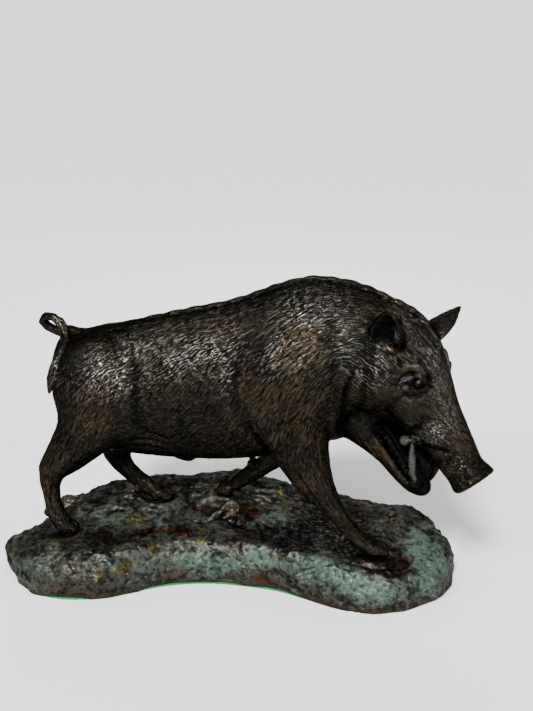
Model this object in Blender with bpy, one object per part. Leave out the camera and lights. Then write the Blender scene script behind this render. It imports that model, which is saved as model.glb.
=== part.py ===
# A wild boar walking over rough ground, cast in bronze, with felt under its base.
# Blender 4.5, metres, +Z up, the boar faces +X. The origin is on the felt's underside.
# The figure's stations are in units of its own length; the base has sizes of its own.

import math

import bmesh
import bpy
from mathutils import Matrix, Vector, noise

# Driving sizes, in metres
BOAR_LENGTH = 0.414
BASE_LENGTH = 0.428
BASE_DEPTH = 0.197
FOOTING_HEIGHT = 0.045
FELT_THICKNESS = 0.002
FELT_INSET = 0.0012
CONTACT_GAP = 0.0003
PRINT_MARGIN = 0.0042

# The figure's own measure: the stations below count 414 units from rump to snout
BOAR_UNITS = 414.0
UNIT = BOAR_LENGTH / BOAR_UNITS

# How finely the figure is fused and how many facets it keeps
FLESH_VOXEL = 1.9 * UNIT
FORM_VOXEL = 1.25 * UNIT
FLESH_SMOOTHING = 14
FORM_SMOOTHING = 3
BOAR_FACETS = 6800
RING_SIDES = 28
BODY_STEPS = 3

# Body from the rump to the snout, as rings with a top and a low point. Trunk: x, top, low,
# half width, heights counted from the soles of the near hooves
TRUNK_STATIONS = [
    (-166, 168, 134, 14), (-162, 182, 112, 30), (-153, 188, 96, 40), (-139, 192, 85, 46),
    (-118, 197, 77, 49), (-90, 203, 73, 50), (-60, 210, 71.5, 51), (-30, 217, 71.5, 53),
    (0, 224, 73, 55), (28, 234, 77, 57), (52, 244, 81, 58), (80, 251, 88, 56),
]
# Neck: x and height of the top, x and height of the throat, y of its middle, yaw, half width
NECK_STATIONS = [
    (106, 250, 98, 98, -1, 4, 53), (130, 244.5, 106, 99, -3, 10, 50),
    (151, 236, 111, 104, -5, 17, 47),
]
# Head: its own frame has t along the snout, v towards the forehead and w towards the far side
HEAD_ROOT = Vector((150, -2, 191))
HEAD_REACH = Vector((78, -36, -108))
HEAD_T = HEAD_REACH.normalized()
HEAD_W = Vector((-HEAD_T.y, HEAD_T.x, 0)).normalized()
HEAD_V = HEAD_T.cross(HEAD_W)
SKULL_STATIONS = [
    (-15, 41.5, 22, -76, 45.5), (6, 46.5, 40, -62, 41.5), (26, 45, 52, -47, 35),
    (42, 41.5, 60, -38, 28.5), (58, 35.5, 70, -31, 25), (75, 30, 82, -27, 22),
    (93, 26.5, 97, -24, 19.5), (110, 23.5, 112, -22, 17.5), (124, 20.5, 126, -20.5, 16.5),
    (132, 19.5, 134, -19.5, 17), (138, 23.5, 140.5, -20, 20.5), (143.5, 23, 145.5, -18.5, 20),
    (145.5, 17, 147.5, -13, 15),
]
# How pointed the rings are above, and how full below
BODY_RIDGE = 1.14
BODY_BELLY = 0.93
# The mane stands along the spine from this x to the last one, then runs on over the neck
MANE_START = -104
MANE_LOWEST = 195
MANE_RADIUS = 3.3
MANE_TUFT = 1.0
JAW_STATIONS = [
    (-16, 4, 16, -103, 42), (12, -6, 37, -98, 39), (40, -30, 56, -86, 31), (60, -50, 73, -76.5, 22.5),
    (80, -49, 88, -71, 18.5), (100, -46, 106, -69, 15.5), (116, -43, 120, -65.5, 13.5),
    (127, -41, 132, -58, 11), (132, -43, 136, -50, 6),
]
MOUTH_TROUGH = [
    (58, -38, 62, -53, 12), (80, -38, 82, -54, 10), (100, -36, 102, -52, 8), (119, -34, 120, -49, 5.5),
]
TONGUE_STATIONS = [
    (40, -26, 48, -66, 12), (60, -25, 62, -66, 9), (80, -24, 82, -62, 7), (96, -24, 97, -60, 6),
    (108, -25, 109, -58, 5.5), (116, -29, 117, -54, 4.5), (120.5, -34, 120.5, -50, 2.5),
]

# Open mouth: t, v and half height of the slit between the lips, and of the hollow inside them,
# on each side of the tongue, then how far out and how deep each is cut
MOUTH_SLIT = [(47, -38, 1.2), (56, -41, 3.6), (66, -41.5, 6.5), (78, -40, 9), (92, -35, 10)]
MOUTH_HOLLOW = [
    (54, -42, 4), (66, -42, 11), (81, -41, 14.5), (95, -39, 15.5), (108, -38, 14.5), (119, -38, 11),
]
MOUTH_CUTS = [(MOUTH_SLIT, 24, 13), (MOUTH_HOLLOW, 10.5, 6.2)]
# Ears: root and tip in the head frame, the way the cup opens, its width and how it tapers
EARS = {
    "near": ((-1, 17, -30), (-22, 54, -52), (0.45, -0.30, -0.84), 34, 0.0),
    "far": ((11, 28, 22), (1, 47, 69), (0.80, -0.45, 0.10), 34, 0.42),
}
EAR_PROFILE = [
    (-0.12, 0.74), (0.0, 0.86), (0.16, 0.97), (0.34, 1.0), (0.52, 0.89), (0.70, 0.66), (0.86, 0.38),
    (1.0, 0.08),
]

# Tusks: lower and upper canine as points with a radius, mirrored over the head
LOWER_TUSK = [
    (122, -48, 12, 4.6), (117, -40, 17.5, 5.2), (108, -33, 22, 5.4), (97, -27, 24, 4.5),
    (89, -22.5, 23.5, 2.9), (84, -19, 22.5, 1.0),
]
UPPER_TUSK = [
    (86, -14, 16, 5.0), (83.5, -21, 19.5, 5.2), (80, -26, 21.5, 4.6), (77.5, -29, 22, 2.6),
]

# Legs: x, y, height, radius along the stride and radius across
HIND_NEAR = [
    (-115, -22, 142, 46, 26), (-123, -26, 116, 38, 25), (-137, -30, 93, 25.5, 20),
    (-153, -33, 74, 19, 14.5), (-165, -34.5, 60, 13.8, 11), (-166.5, -35, 48, 10.6, 9),
    (-165.5, -35, 38, 8.9, 8), (-164.5, -35, 28, 8.5, 7.8), (-162, -35, 18, 9.6, 9),
    (-157.5, -35, 10, 9, 9), (-153, -35, 3, 9.5, 9.5),
]
FORE_NEAR = [
    (60, -26, 152, 44, 25), (66, -30, 122, 36, 23), (74, -32.5, 97, 27.5, 20),
    (84, -34, 73, 20, 16), (93, -35, 58, 15, 12.5), (102, -35.5, 46, 11.4, 10.2),
    (110, -36, 35.5, 9.3, 8.8), (118, -36, 25, 8.3, 8), (126, -36, 15, 8.4, 8.6),
    (134, -36, 9, 8.6, 9), (142, -36, 5, 7.6, 9),
]
HIND_FAR = [
    (-112, 22, 142, 48, 26), (-111, 26, 114, 39, 25), (-111, 29, 90, 29, 20),
    (-116, 31, 68, 20, 15), (-119, 32, 54, 14.2, 11.5), (-114, 33, 44, 11, 9.5),
    (-106, 33.5, 35, 9.2, 8.4), (-98, 34, 28, 8.7, 8.2), (-90, 34, 22, 9.3, 9),
    (-83, 34, 17.5, 8.4, 9), (-75, 34, 14, 7.4, 9),
]
FORE_FAR = [
    (60, 26, 152, 44, 25), (64, 30, 120, 34, 22), (58, 32, 94, 25, 18),
    (50, 33, 75, 17, 13.4), (40, 33.5, 61, 12, 10.6), (30, 34, 52, 9.6, 9.2),
    (20, 34, 44.5, 9.6, 9.4), (10, 34, 37, 8.4, 9), (0, 34, 29.5, 7.4, 9), (-6, 34, 25, 5.6, 7.4),
]
# Where each hoof stands: x, y, height of the sole, and the reach of its print along and across
HOOVES = {
    "hind_near": (-153, -35, 0, 12.5, 11.5),
    "fore_near": (143.5, -36, 0, 14.5, 12),
    "hind_far": (-76.5, 34, 8.5, 14, 11.5),
    "fore_far": (-8, 34, 18.5, 10.5, 10.5),
}
# Each hoof has two toes side by side: heel and tip as shares of its reach, then their size
TOE_HEEL = -0.42
TOE_TIP = 0.98
TOE_SPREAD = 0.46
TOE_PINCH = 0.09
TOE_LIFT = 0.75
TOE_STATIONS = [(0.0, 5.2, 5.0), (0.3, 6.4, 5.6), (0.62, 5.6, 5.2), (0.88, 3.8, 4.2), (1.0, 1.8, 2.4)]
# How deep the hooves sink in, and how far round them the ground is level, in shares of the hoof
HOOF_SINK = 0.9
LEVEL_REACH = 2.3
# What is cut away below each sole: length, width, depth
SOLE_BLOCK = (62, 34, 24)
DEW_CLAWS = [
    (-169, -28.5, 20), (-169, -41.5, 20), (115, -29.5, 14.5), (115, -42.5, 14.5),
    (-98, 27, 18.5), (-98, 41, 18.5), (16, 27.5, 54), (16, 40.5, 54),
]
DEW_CLAW_RADIUS = 3.6
NOSTRIL = (148.5, 1, 7.5)
NOSTRIL_RADII = (6, 5.2, 3.8)

# Masses of muscle and bone: centre and radii, mirrored where the sign is both
MUSCLES = [
    ((54, -25, 158), (38, 32, 56)), ((54, 25, 158), (38, 32, 56)),
    ((-118, -23, 146), (46, 28, 46)), ((-114, 23, 146), (46, 28, 46)),
    ((92, -20, 160), (34, 30, 46)), ((92, 20, 160), (34, 30, 46)),
    ((-20, 0, 128), (70, 52, 50)),
]
HEAD_MASSES = [
    ((35, 27.5, 23.5), (14, 6, 6)), ((48, -4, 20), (27, 19, 12)), ((20, -28, 25), (24, 24, 16)),
    ((42, 18, 26.5), (5.6, 5, 4)), ((122, -6, 13), (11, 8, 6)),
]
SHEATH_STATIONS = [
    (-58, 79, 6, 5), (-48, 73, 7, 7), (-38, 70.5, 7, 7), (-31, 73, 5, 5),
]

# Tail: x, y, height, radius; it loops once and lies down over the rump
TAIL_STATIONS = [
    (-141, 0, 187, 8.5), (-150, 2, 190, 6.4), (-158, 4, 188, 5.2), (-166, 4.5, 188, 4.7),
    (-173.5, 3, 192.5, 4.5), (-177, 0, 199, 4.4), (-172.5, -3, 204.5, 4.3), (-164, -6, 204.5, 4.2),
    (-156, -9, 197.5, 4.1), (-151.5, -12, 186, 4.0), (-153.5, -14, 174, 4.0),
    (-158, -15, 162, 4.5), (-162.5, -15.5, 150, 4.2), (-165, -16, 141, 1.6),
]

# Base: plan outline as shares of half the length and half the depth, seen from above
OUTLINE = [
    (-1.00, -0.25), (-0.93, -0.56), (-0.80, -0.84), (-0.66, -0.92), (-0.50, -0.84), (-0.37, -0.66),
    (-0.22, -0.48), (-0.06, -0.39), (0.10, -0.39), (0.26, -0.44), (0.42, -0.58), (0.56, -0.69),
    (0.71, -0.71), (0.85, -0.55), (0.96, -0.28), (1.00, 0.08), (0.965, 0.46), (0.84, 0.75),
    (0.63, 0.92), (0.34, 1.01), (0.05, 1.06), (-0.24, 1.04), (-0.48, 0.94), (-0.68, 0.72),
    (-0.81, 0.38), (-0.93, 0.03),
]
OUTLINE_STEPS = 3
# Where the rings of the base draw together, in the same shares, and how the lumps push its bank out
BASE_HEART = (0.02, 0.30)
BANK_SWELL = 1.3
# Rings of the base: share of the way out, and share of the footing height up the side wall
WALL_RINGS = [(1.0, 0.0), (1.018, 0.16), (1.012, 0.42), (0.985, 0.66)]
TOP_RINGS = [
    (0.935, 0.17), (0.865, 0.07), (0.77, 0.02), (0.66, 0.0), (0.54, 0.0), (0.41, 0.0), (0.27, 0.0),
    (0.13, 0.0),
]
# Mounds on the ground: centre, reach and rise, in the figure's units
MOUNDS = [
    ((5, 62), (78, 38), 25), ((-98, 54), (64, 34), 15), ((-4, 84), (16, 12), 6),
    ((172, 46), (32, 28), 12), ((-142, 56), (18, 14), 7), ((118, 20), (30, 22), 2),
    ((-208, 10), (34, 44), -7),
]
# Lumps of earth and rock all over it: height and reach
LUMPS = [(2.6, 26.0), (1.7, 12.0)]


def clear_scene():
    for thing in list(bpy.data.objects):
        bpy.data.objects.remove(thing)


def bronze(name, colour, roughness, metallic):
    material = bpy.data.materials.new(name)
    material.use_nodes = True
    shader = material.node_tree.nodes["Principled BSDF"]
    shader.inputs["Base Color"].default_value = (*colour, 1.0)
    shader.inputs["Roughness"].default_value = roughness
    shader.inputs["Metallic"].default_value = metallic
    return material


def new_object(name, bm):
    mesh = bpy.data.meshes.new(name)
    bm.to_mesh(mesh)
    bm.free()
    thing = bpy.data.objects.new(name, mesh)
    bpy.context.scene.collection.objects.link(thing)
    return thing


def evaluated_copy(thing, name):
    """The object as its modifiers leave it, as a new object, with the old one removed."""
    bpy.context.view_layer.update()
    graph = bpy.context.evaluated_depsgraph_get()
    mesh = bpy.data.meshes.new_from_object(thing.evaluated_get(graph))
    mesh.name = name
    bpy.data.objects.remove(thing)
    copy = bpy.data.objects.new(name, mesh)
    bpy.context.scene.collection.objects.link(copy)
    return copy


def figure_point(x, y, height):
    return Vector((x * UNIT, y * UNIT, FOOTING_HEIGHT + height * UNIT))


def add_ring(bm, centre, side, rise, drop, ridge=1.0, belly=1.0):
    """One cross-section: half its width to the side, and the reach from its centre up and down."""
    made = []
    for k in range(RING_SIDES):
        angle = 2 * math.pi * k / RING_SIDES
        across, up = math.sin(angle), math.cos(angle)
        power = ridge if up > 0 else belly
        width = math.copysign(abs(across) ** power, across)
        made.append(bm.verts.new(centre + side * width + (rise if up > 0 else drop) * abs(up)))
    return [bm.edges.new((made[k], made[(k + 1) % RING_SIDES])) for k in range(RING_SIDES)]


def close_loft(bm, rings):
    for low, high in zip(rings, rings[1:]):
        bmesh.ops.bridge_loops(bm, edges=low + high)
    for ring in (rings[0], rings[-1]):
        bmesh.ops.contextual_create(bm, geom=ring)
    bmesh.ops.recalc_face_normals(bm, faces=bm.faces)


def path_loft(name, stations):
    """A limb: stations are a point, then the radius in the plane of the stride and the radius across."""
    bm = bmesh.new()
    points = [figure_point(*s[:3]) for s in stations]
    rings = []
    for k, (point, station) in enumerate(zip(points, stations)):
        along = (points[min(k + 1, len(points) - 1)] - points[max(k - 1, 0)]).normalized()
        across = Vector((0, 1, 0))
        fore = along.cross(across).normalized()
        across = fore.cross(along).normalized()
        fore_radius, side_radius = station[3] * UNIT, station[-1] * UNIT
        rings.append(add_ring(bm, point, across * side_radius, fore * fore_radius, -fore * fore_radius))
    close_loft(bm, rings)
    return new_object(name, bm)


def head_place(t, v, w):
    return HEAD_ROOT + HEAD_T * t + HEAD_V * v + HEAD_W * w


def head_point(t, v, w):
    return figure_point(*head_place(t, v, w))


def curve_at(s, a, b, c, d):
    """A smooth curve through a, b, c and d, at the share s of the way from b to c."""
    bend = (2 * a - 5 * b + 4 * c - d) * s * s + (3 * b - a - 3 * c + d) * s * s * s
    return 0.5 * (2 * b + (c - a) * s + bend)


def smooth_row(rows, steps):
    """Rows of numbers with further rows between them on a smooth curve."""
    made = []
    last = len(rows) - 1
    for k in range(last):
        p0, p1, p2, p3 = (rows[min(max(k + n, 0), last)] for n in (-1, 0, 1, 2))
        for step in range(steps):
            made.append(tuple(curve_at(step / steps, *four) for four in zip(p0, p1, p2, p3)))
    return made + [rows[last]]


def body_rows():
    """Each ring of the body: its top point, low point and half its width to the side."""
    rows = [(x, 0, top, x, 0, low, 0, half_width, 0) for x, top, low, half_width in TRUNK_STATIONS]
    for top_x, top, low_x, low, y, yaw, half_width in NECK_STATIONS:
        turn = math.radians(yaw)
        side = (half_width * math.sin(turn), half_width * math.cos(turn), 0)
        rows.append((top_x, y, top, low_x, y, low, *side))
    for top_t, top_v, low_t, low_v, half_width in SKULL_STATIONS:
        rows.append((*head_place(top_t, top_v, 0), *head_place(low_t, low_v, 0), *(HEAD_W * half_width)))
    return smooth_row(rows, BODY_STEPS)


def body():
    bm = bmesh.new()
    rings = []
    for row in body_rows():
        top, low = figure_point(*row[0:3]), figure_point(*row[3:6])
        middle = (top + low) / 2
        side = Vector(row[6:9]) * UNIT
        rings.append(add_ring(bm, middle, side, top - middle, low - middle, BODY_RIDGE, BODY_BELLY))
    close_loft(bm, rings)
    return new_object("body", bm)


def toes():
    made = []
    for name, (x, y, sole, reach_x, reach_y) in HOOVES.items():
        heading = -1 if name == "fore_far" else 1
        for sign in (-1, 1):
            stations = []
            for along, height, half_width in TOE_STATIONS:
                toe_x = x + heading * reach_x * (TOE_HEEL + (TOE_TIP - TOE_HEEL) * along)
                toe_y = y + sign * reach_y * (TOE_SPREAD - TOE_PINCH * along)
                stations.append((toe_x, toe_y, sole + height * TOE_LIFT, height, half_width))
            made.append(path_loft("toe", stations))
    return made


def mane():
    """A crest of bristles along the spine, tuft by tuft, from the loins to between the ears."""
    crest = []
    for row in body_rows():
        x, y, height = row[0:3]
        if MANE_START <= x and height > MANE_LOWEST:
            crest.append((x, y, height))
    stations = []
    for k, (x, y, height) in enumerate(crest):
        swell = min(1.0, 0.35 + 0.11 * min(k, len(crest) - 1 - k))
        radius = MANE_RADIUS * swell + (MANE_TUFT if k % 2 else 0)
        stations.append((x, y, height - 1.0, radius, radius * 0.9))
    return path_loft("mane", stations)


def head_loft(name, stations):
    """A piece of the head: each station is its top t and v, its low t and v, and its half width."""
    bm = bmesh.new()
    rings = []
    for top_t, top_v, low_t, low_v, half_width in stations:
        top, low = head_point(top_t, top_v, 0), head_point(low_t, low_v, 0)
        middle = (top + low) / 2
        rings.append(add_ring(bm, middle, HEAD_W * half_width * UNIT, top - middle, low - middle))
    close_loft(bm, rings)
    return new_object(name, bm)


def mouth_cut(stations, place, half_depth):
    bm = bmesh.new()
    rings = []
    for t, v, half_height in stations:
        reach = HEAD_V * half_height * UNIT
        rings.append(add_ring(bm, head_point(t, v, place), HEAD_W * half_depth * UNIT, reach, -reach))
    close_loft(bm, rings)
    return new_object("mouth_cut", bm)


def ball(name, centre, radii, turn=None):
    bm = bmesh.new()
    place = Matrix.Translation(centre)
    if turn:
        place = place @ turn
    shape = Matrix.Diagonal((*[r * UNIT for r in radii], 1))
    bmesh.ops.create_uvsphere(bm, u_segments=24, v_segments=14, radius=1.0, matrix=place @ shape)
    return new_object(name, bm)


def head_turn():
    return Matrix((HEAD_T, HEAD_V, HEAD_W)).transposed().to_4x4()


def head_masses():
    made = []
    for sign in (-1, 1):
        for k, ((t, v, w), radii) in enumerate(HEAD_MASSES):
            made.append(ball(f"mass_{k}_{sign}", head_point(t, v, sign * w), radii, head_turn()))
    return made


def tusk(name, stations, sign):
    bm = bmesh.new()
    points = [head_point(t, v, sign * w) for t, v, w, _ in stations]
    rings = []
    for k, (point, station) in enumerate(zip(points, stations)):
        along = (points[min(k + 1, len(points) - 1)] - points[max(k - 1, 0)]).normalized()
        fore = along.cross(HEAD_W).normalized() * station[-1] * UNIT
        rings.append(add_ring(bm, point, fore.cross(along) * 0.85, fore, -fore))
    close_loft(bm, rings)
    return new_object(name, bm)


def ear(name, root, tip, opening, width, taper):
    """A leaf-shaped cup: a leaf with a smaller leaf taken out of its open side."""
    root, tip = head_point(*root), head_point(*tip)
    axis = (tip - root).normalized()
    out = HEAD_T * opening[0] + HEAD_V * opening[1] + HEAD_W * opening[2]
    out = (out - axis * out.dot(axis)).normalized()
    across = axis.cross(out)

    def leaf(part, shift, spread, depth, low, high):
        bm = bmesh.new()
        rings = []
        for along, share in EAR_PROFILE:
            along = low + (high - low) * along
            half = width * UNIT / 2 * share * (1 - taper * along)
            centre = root.lerp(tip, along) + out * half * shift
            bulge = out * half * depth
            rings.append(add_ring(bm, centre, across * half * spread, bulge, -bulge))
        close_loft(bm, rings)
        return new_object(f"{name}_{part}", bm)

    shell = leaf("shell", 0.0, 1.0, 0.52, 0.0, 1.0)
    hollow = leaf("hollow", 0.48, 0.80, 0.62, 0.14, 0.92)
    cut = shell.modifiers.new("cup", "BOOLEAN")
    cut.operation = "DIFFERENCE"
    cut.object = hollow
    shell = evaluated_copy(shell, name)
    bpy.data.objects.remove(hollow)
    return shell


def cut_away(thing, cutter):
    cut = thing.modifiers.new("cut", "BOOLEAN")
    cut.operation = "DIFFERENCE"
    cut.object = cutter
    name = thing.name
    thing = evaluated_copy(thing, name)
    bpy.data.objects.remove(cutter)
    return thing


def fuse(pieces, name, voxel, smoothing):
    """Melts overlapping closed pieces into one skin and rounds the joins."""
    bm = bmesh.new()
    for piece in pieces:
        bm.from_mesh(piece.data)
        bpy.data.objects.remove(piece)
    body = new_object(name, bm)
    remesh = body.modifiers.new("fuse", "REMESH")
    remesh.mode = "VOXEL"
    remesh.voxel_size = voxel
    soften = body.modifiers.new("soften", "SMOOTH")
    soften.factor = 0.5
    soften.iterations = round(smoothing)
    return evaluated_copy(body, name)


def flesh():
    legs = [path_loft("leg", stations) for stations in (HIND_NEAR, HIND_FAR, FORE_NEAR, FORE_FAR)]
    sheath = path_loft("sheath", [(x, 0, z, rise, side) for x, z, rise, side in SHEATH_STATIONS])
    muscles = [ball("muscle", figure_point(*centre), radii) for centre, radii in MUSCLES]
    jaw = cut_away(head_loft("jaw", JAW_STATIONS), head_loft("trough", MOUTH_TROUGH))
    tongue = head_loft("tongue", TONGUE_STATIONS)
    figure = fuse([body(), jaw, tongue, sheath, *legs, *muscles], "flesh", FLESH_VOXEL, FLESH_SMOOTHING)
    for stations, place, half_depth in MOUTH_CUTS:
        for sign in (-1, 1):
            figure = cut_away(figure, mouth_cut(stations, sign * place, half_depth))
    return figure


def details():
    made = head_masses() + toes() + [mane()]
    for sign in (-1, 1):
        made.append(tusk("lower_tusk", LOWER_TUSK, sign))
        made.append(tusk("upper_tusk", UPPER_TUSK, sign))
    for side, shape in EARS.items():
        made.append(ear(f"ear_{side}", *shape))
    made.append(path_loft("tail", TAIL_STATIONS))
    for x, y, height in DEW_CLAWS:
        radii = (DEW_CLAW_RADIUS, DEW_CLAW_RADIUS * 0.8, DEW_CLAW_RADIUS * 1.3)
        made.append(ball("dew_claw", figure_point(x, y, height), radii))
    return made


def sole_block(x, y, height):
    """Takes away what reaches below a hoof's sole."""
    bm = bmesh.new()
    size = Vector(SOLE_BLOCK) * UNIT
    centre = figure_point(x, y, height) - Vector((0, 0, size.z / 2))
    bmesh.ops.create_cube(bm, size=1.0, matrix=Matrix.Translation(centre) @ Matrix.Diagonal((*size, 1)))
    return new_object("sole_block", bm)


def boar():
    figure = fuse([flesh(), *details()], "boar", FORM_VOXEL, FORM_SMOOTHING)
    for sign in (-1, 1):
        t, v, w = NOSTRIL
        figure = cut_away(figure, ball("nostril", head_point(t, v, sign * w), NOSTRIL_RADII, head_turn()))
    triangles = sum(len(face.vertices) - 2 for face in figure.data.polygons)
    thin = figure.modifiers.new("facets", "DECIMATE")
    thin.ratio = BOAR_FACETS / triangles
    figure = evaluated_copy(figure, "boar")
    for x, y, height, _, _ in HOOVES.values():
        figure = cut_away(figure, sole_block(x, y, height))
    figure.name = "boar"
    return figure


def closed_curve(points, steps):
    """A smooth closed line through the points, with so many steps from each to the next."""
    made = []
    count = len(points)
    for k in range(count):
        p0, p1, p2, p3 = (Vector(points[(k + n) % count]) for n in (-1, 0, 1, 2))
        for step in range(steps):
            made.append(curve_at(step / steps, p0, p1, p2, p3))
    return made


def plan_outline():
    shares = closed_curve(OUTLINE, OUTLINE_STEPS)
    return [Vector((x * BASE_LENGTH / 2, y * BASE_DEPTH / 2)) for x, y in shares]


def lump(x, y, z):
    return sum(height * noise.noise(Vector((x, y, z)) / (reach * UNIT)) for height, reach in LUMPS)


def ground_height(x, y):
    """How high the rough ground stands above the underside at a place on top of the base."""
    rise = 0.0
    for (mound_x, mound_y), (reach_x, reach_y), height in MOUNDS:
        away = math.hypot((x / UNIT - mound_x) / reach_x, (y / UNIT - mound_y) / reach_y)
        rise += height * math.exp(-away * away)
    rise += lump(x, y, 0)
    for hoof_x, hoof_y, sole, reach_x, reach_y in HOOVES.values():
        away = math.hypot((x / UNIT - hoof_x) / reach_x, (y / UNIT - hoof_y) / reach_y)
        level = min(1.0, max(0.0, LEVEL_REACH - away))
        rise += (sole + HOOF_SINK - rise) * level
    return FOOTING_HEIGHT + rise * UNIT


def base_body():
    outline = plan_outline()
    heart = Vector((BASE_HEART[0] * BASE_LENGTH / 2, BASE_HEART[1] * BASE_DEPTH / 2))
    foot = FELT_THICKNESS + CONTACT_GAP
    bm = bmesh.new()
    rings = []
    for share, rise in WALL_RINGS:
        made = []
        for place in outline:
            spot = heart + (place - heart) * share
            swell = lump(spot.x, spot.y, rise * FOOTING_HEIGHT)
            spot = spot + (place - heart).normalized() * swell * BANK_SWELL * UNIT
            made.append(bm.verts.new((spot.x, spot.y, foot + rise * (FOOTING_HEIGHT - foot))))
        rings.append(made)
    for share, fall in TOP_RINGS:
        made = []
        for place in outline:
            spot = heart + (place - heart) * share
            height = ground_height(spot.x, spot.y)
            height -= fall * (height - foot)
            made.append(bm.verts.new((spot.x, spot.y, height)))
        rings.append(made)
    count = len(outline)
    edges = [[bm.edges.new((ring[k], ring[(k + 1) % count])) for k in range(count)] for ring in rings]
    for low, high in zip(edges, edges[1:]):
        bmesh.ops.bridge_loops(bm, edges=low + high)
    bmesh.ops.contextual_create(bm, geom=edges[0])
    crown = bmesh.ops.contextual_create(bm, geom=edges[-1])["faces"]
    bmesh.ops.poke(bm, faces=crown)
    bmesh.ops.triangulate(bm, faces=bm.faces)
    bmesh.ops.recalc_face_normals(bm, faces=bm.faces)
    return new_object("base", bm)


def hoof_print(x, y, height, reach_x, reach_y):
    """The flat-floored print that a hoof stands in, a little wider than the hoof."""
    bm = bmesh.new()
    depth = 30 * UNIT
    floor = figure_point(x, y, height) - Vector((0, 0, CONTACT_GAP))
    size = Vector((reach_x * UNIT + PRINT_MARGIN, reach_y * UNIT + PRINT_MARGIN, depth))
    place = Matrix.Translation(floor + Vector((0, 0, depth / 2))) @ Matrix.Diagonal((*size, 1))
    bmesh.ops.create_cone(bm, cap_ends=True, segments=24, radius1=1.0, radius2=1.0, depth=1.0, matrix=place)
    return new_object("hoof_print", bm)


def base():
    body = base_body()
    for hoof in HOOVES.values():
        body = cut_away(body, hoof_print(*hoof))
    body.name = "base"
    return body


def felt_pad():
    outline = plan_outline()
    heart = Vector((BASE_HEART[0] * BASE_LENGTH / 2, BASE_HEART[1] * BASE_DEPTH / 2))
    bm = bmesh.new()
    ring = []
    for place in outline:
        spot = place - (place - heart).normalized() * FELT_INSET
        ring.append(bm.verts.new((spot.x, spot.y, 0)))
    sheet = bm.faces.new(ring)
    grown = bmesh.ops.extrude_face_region(bm, geom=[sheet])["geom"]
    top = [part for part in grown if isinstance(part, bmesh.types.BMVert)]
    bmesh.ops.translate(bm, vec=(0, 0, FELT_THICKNESS), verts=top)
    bmesh.ops.triangulate(bm, faces=bm.faces)
    bmesh.ops.recalc_face_normals(bm, faces=bm.faces)
    return new_object("felt_pad", bm)


def main():
    clear_scene()
    finishes = {
        "boar": bronze("dark_bronze", (0.075, 0.055, 0.035), 0.38, 0.85),
        "base": bronze("green_bronze", (0.095, 0.125, 0.105), 0.55, 0.5),
        "felt_pad": bronze("green_felt", (0.02, 0.33, 0.12), 0.95, 0.0),
    }
    for make in (boar, base, felt_pad):
        piece = make()
        piece.data.materials.clear()
        piece.data.materials.append(finishes[piece.name])
        if piece.name != "felt_pad":
            piece.data.shade_smooth()
            piece.data.set_sharp_from_angle(angle=math.radians(50))


main()
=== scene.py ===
import math

import bmesh
import bpy
import numpy as np
from mathutils import Matrix, Vector, noise
from mathutils.kdtree import KDTree


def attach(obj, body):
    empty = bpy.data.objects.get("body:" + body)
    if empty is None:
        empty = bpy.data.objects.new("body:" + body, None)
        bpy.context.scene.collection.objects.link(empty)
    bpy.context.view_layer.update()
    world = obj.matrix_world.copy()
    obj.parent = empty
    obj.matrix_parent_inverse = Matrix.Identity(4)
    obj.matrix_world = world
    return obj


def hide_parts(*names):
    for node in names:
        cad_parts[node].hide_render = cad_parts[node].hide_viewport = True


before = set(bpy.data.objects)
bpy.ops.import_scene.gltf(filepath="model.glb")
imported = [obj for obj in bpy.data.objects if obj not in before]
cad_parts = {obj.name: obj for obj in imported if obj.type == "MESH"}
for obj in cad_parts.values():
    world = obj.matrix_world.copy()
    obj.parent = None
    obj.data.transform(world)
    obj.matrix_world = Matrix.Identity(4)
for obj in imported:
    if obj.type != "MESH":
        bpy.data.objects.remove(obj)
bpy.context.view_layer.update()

mm = 0.001
millimetres = 1000.0


# Camera and studio

view = {
    "place": (0.2303, -1.187, 0.617),
    "right": (0.987, 0.1609, 0.0),
    "up": (-0.0504, 0.3092, 0.9496),
    "forward": (-0.1528, 0.9373, -0.3133),
    "lens": 69.29,
    "sensor": 36.0,
}
studio = {
    "floorReach": 30.0,
    "floorColour": (0.94, 0.94, 0.94),
    "skyColour": (1.0, 1.0, 1.0),
    "skyStrength": 0.55,
    "sunStrength": 6.5,
    "sunAngle": 12.0,
    "sunFrom": (-0.08, -1.0, 0.90),
    # place, size, power and colour of each soft light, all turned to the figure
    "lights": [
        ((-0.65, -0.95, 0.95), 0.22, 7, (1, 0.985, 0.96)),
        ((0.80, -1.00, 0.75), 0.22, 5, (1, 1, 1)),
        ((-0.1, 1.1, 1), 0.5, 6, (0.97, 0.99, 1)),
    ],
    "aim": (0.0, 0.0, 0.17),
}


def setCamera():
    data = bpy.data.cameras.new("camera")
    camera = bpy.data.objects.new("camera", data)
    bpy.context.scene.collection.objects.link(camera)
    axes = (Vector(view["right"]), Vector(view["up"]), -Vector(view["forward"]))
    camera.matrix_world = Matrix.Translation(view["place"]) @ Matrix(axes).transposed().to_4x4()
    data.sensor_width = view["sensor"]
    data.lens = view["lens"]
    bpy.context.scene.camera = camera


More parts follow.
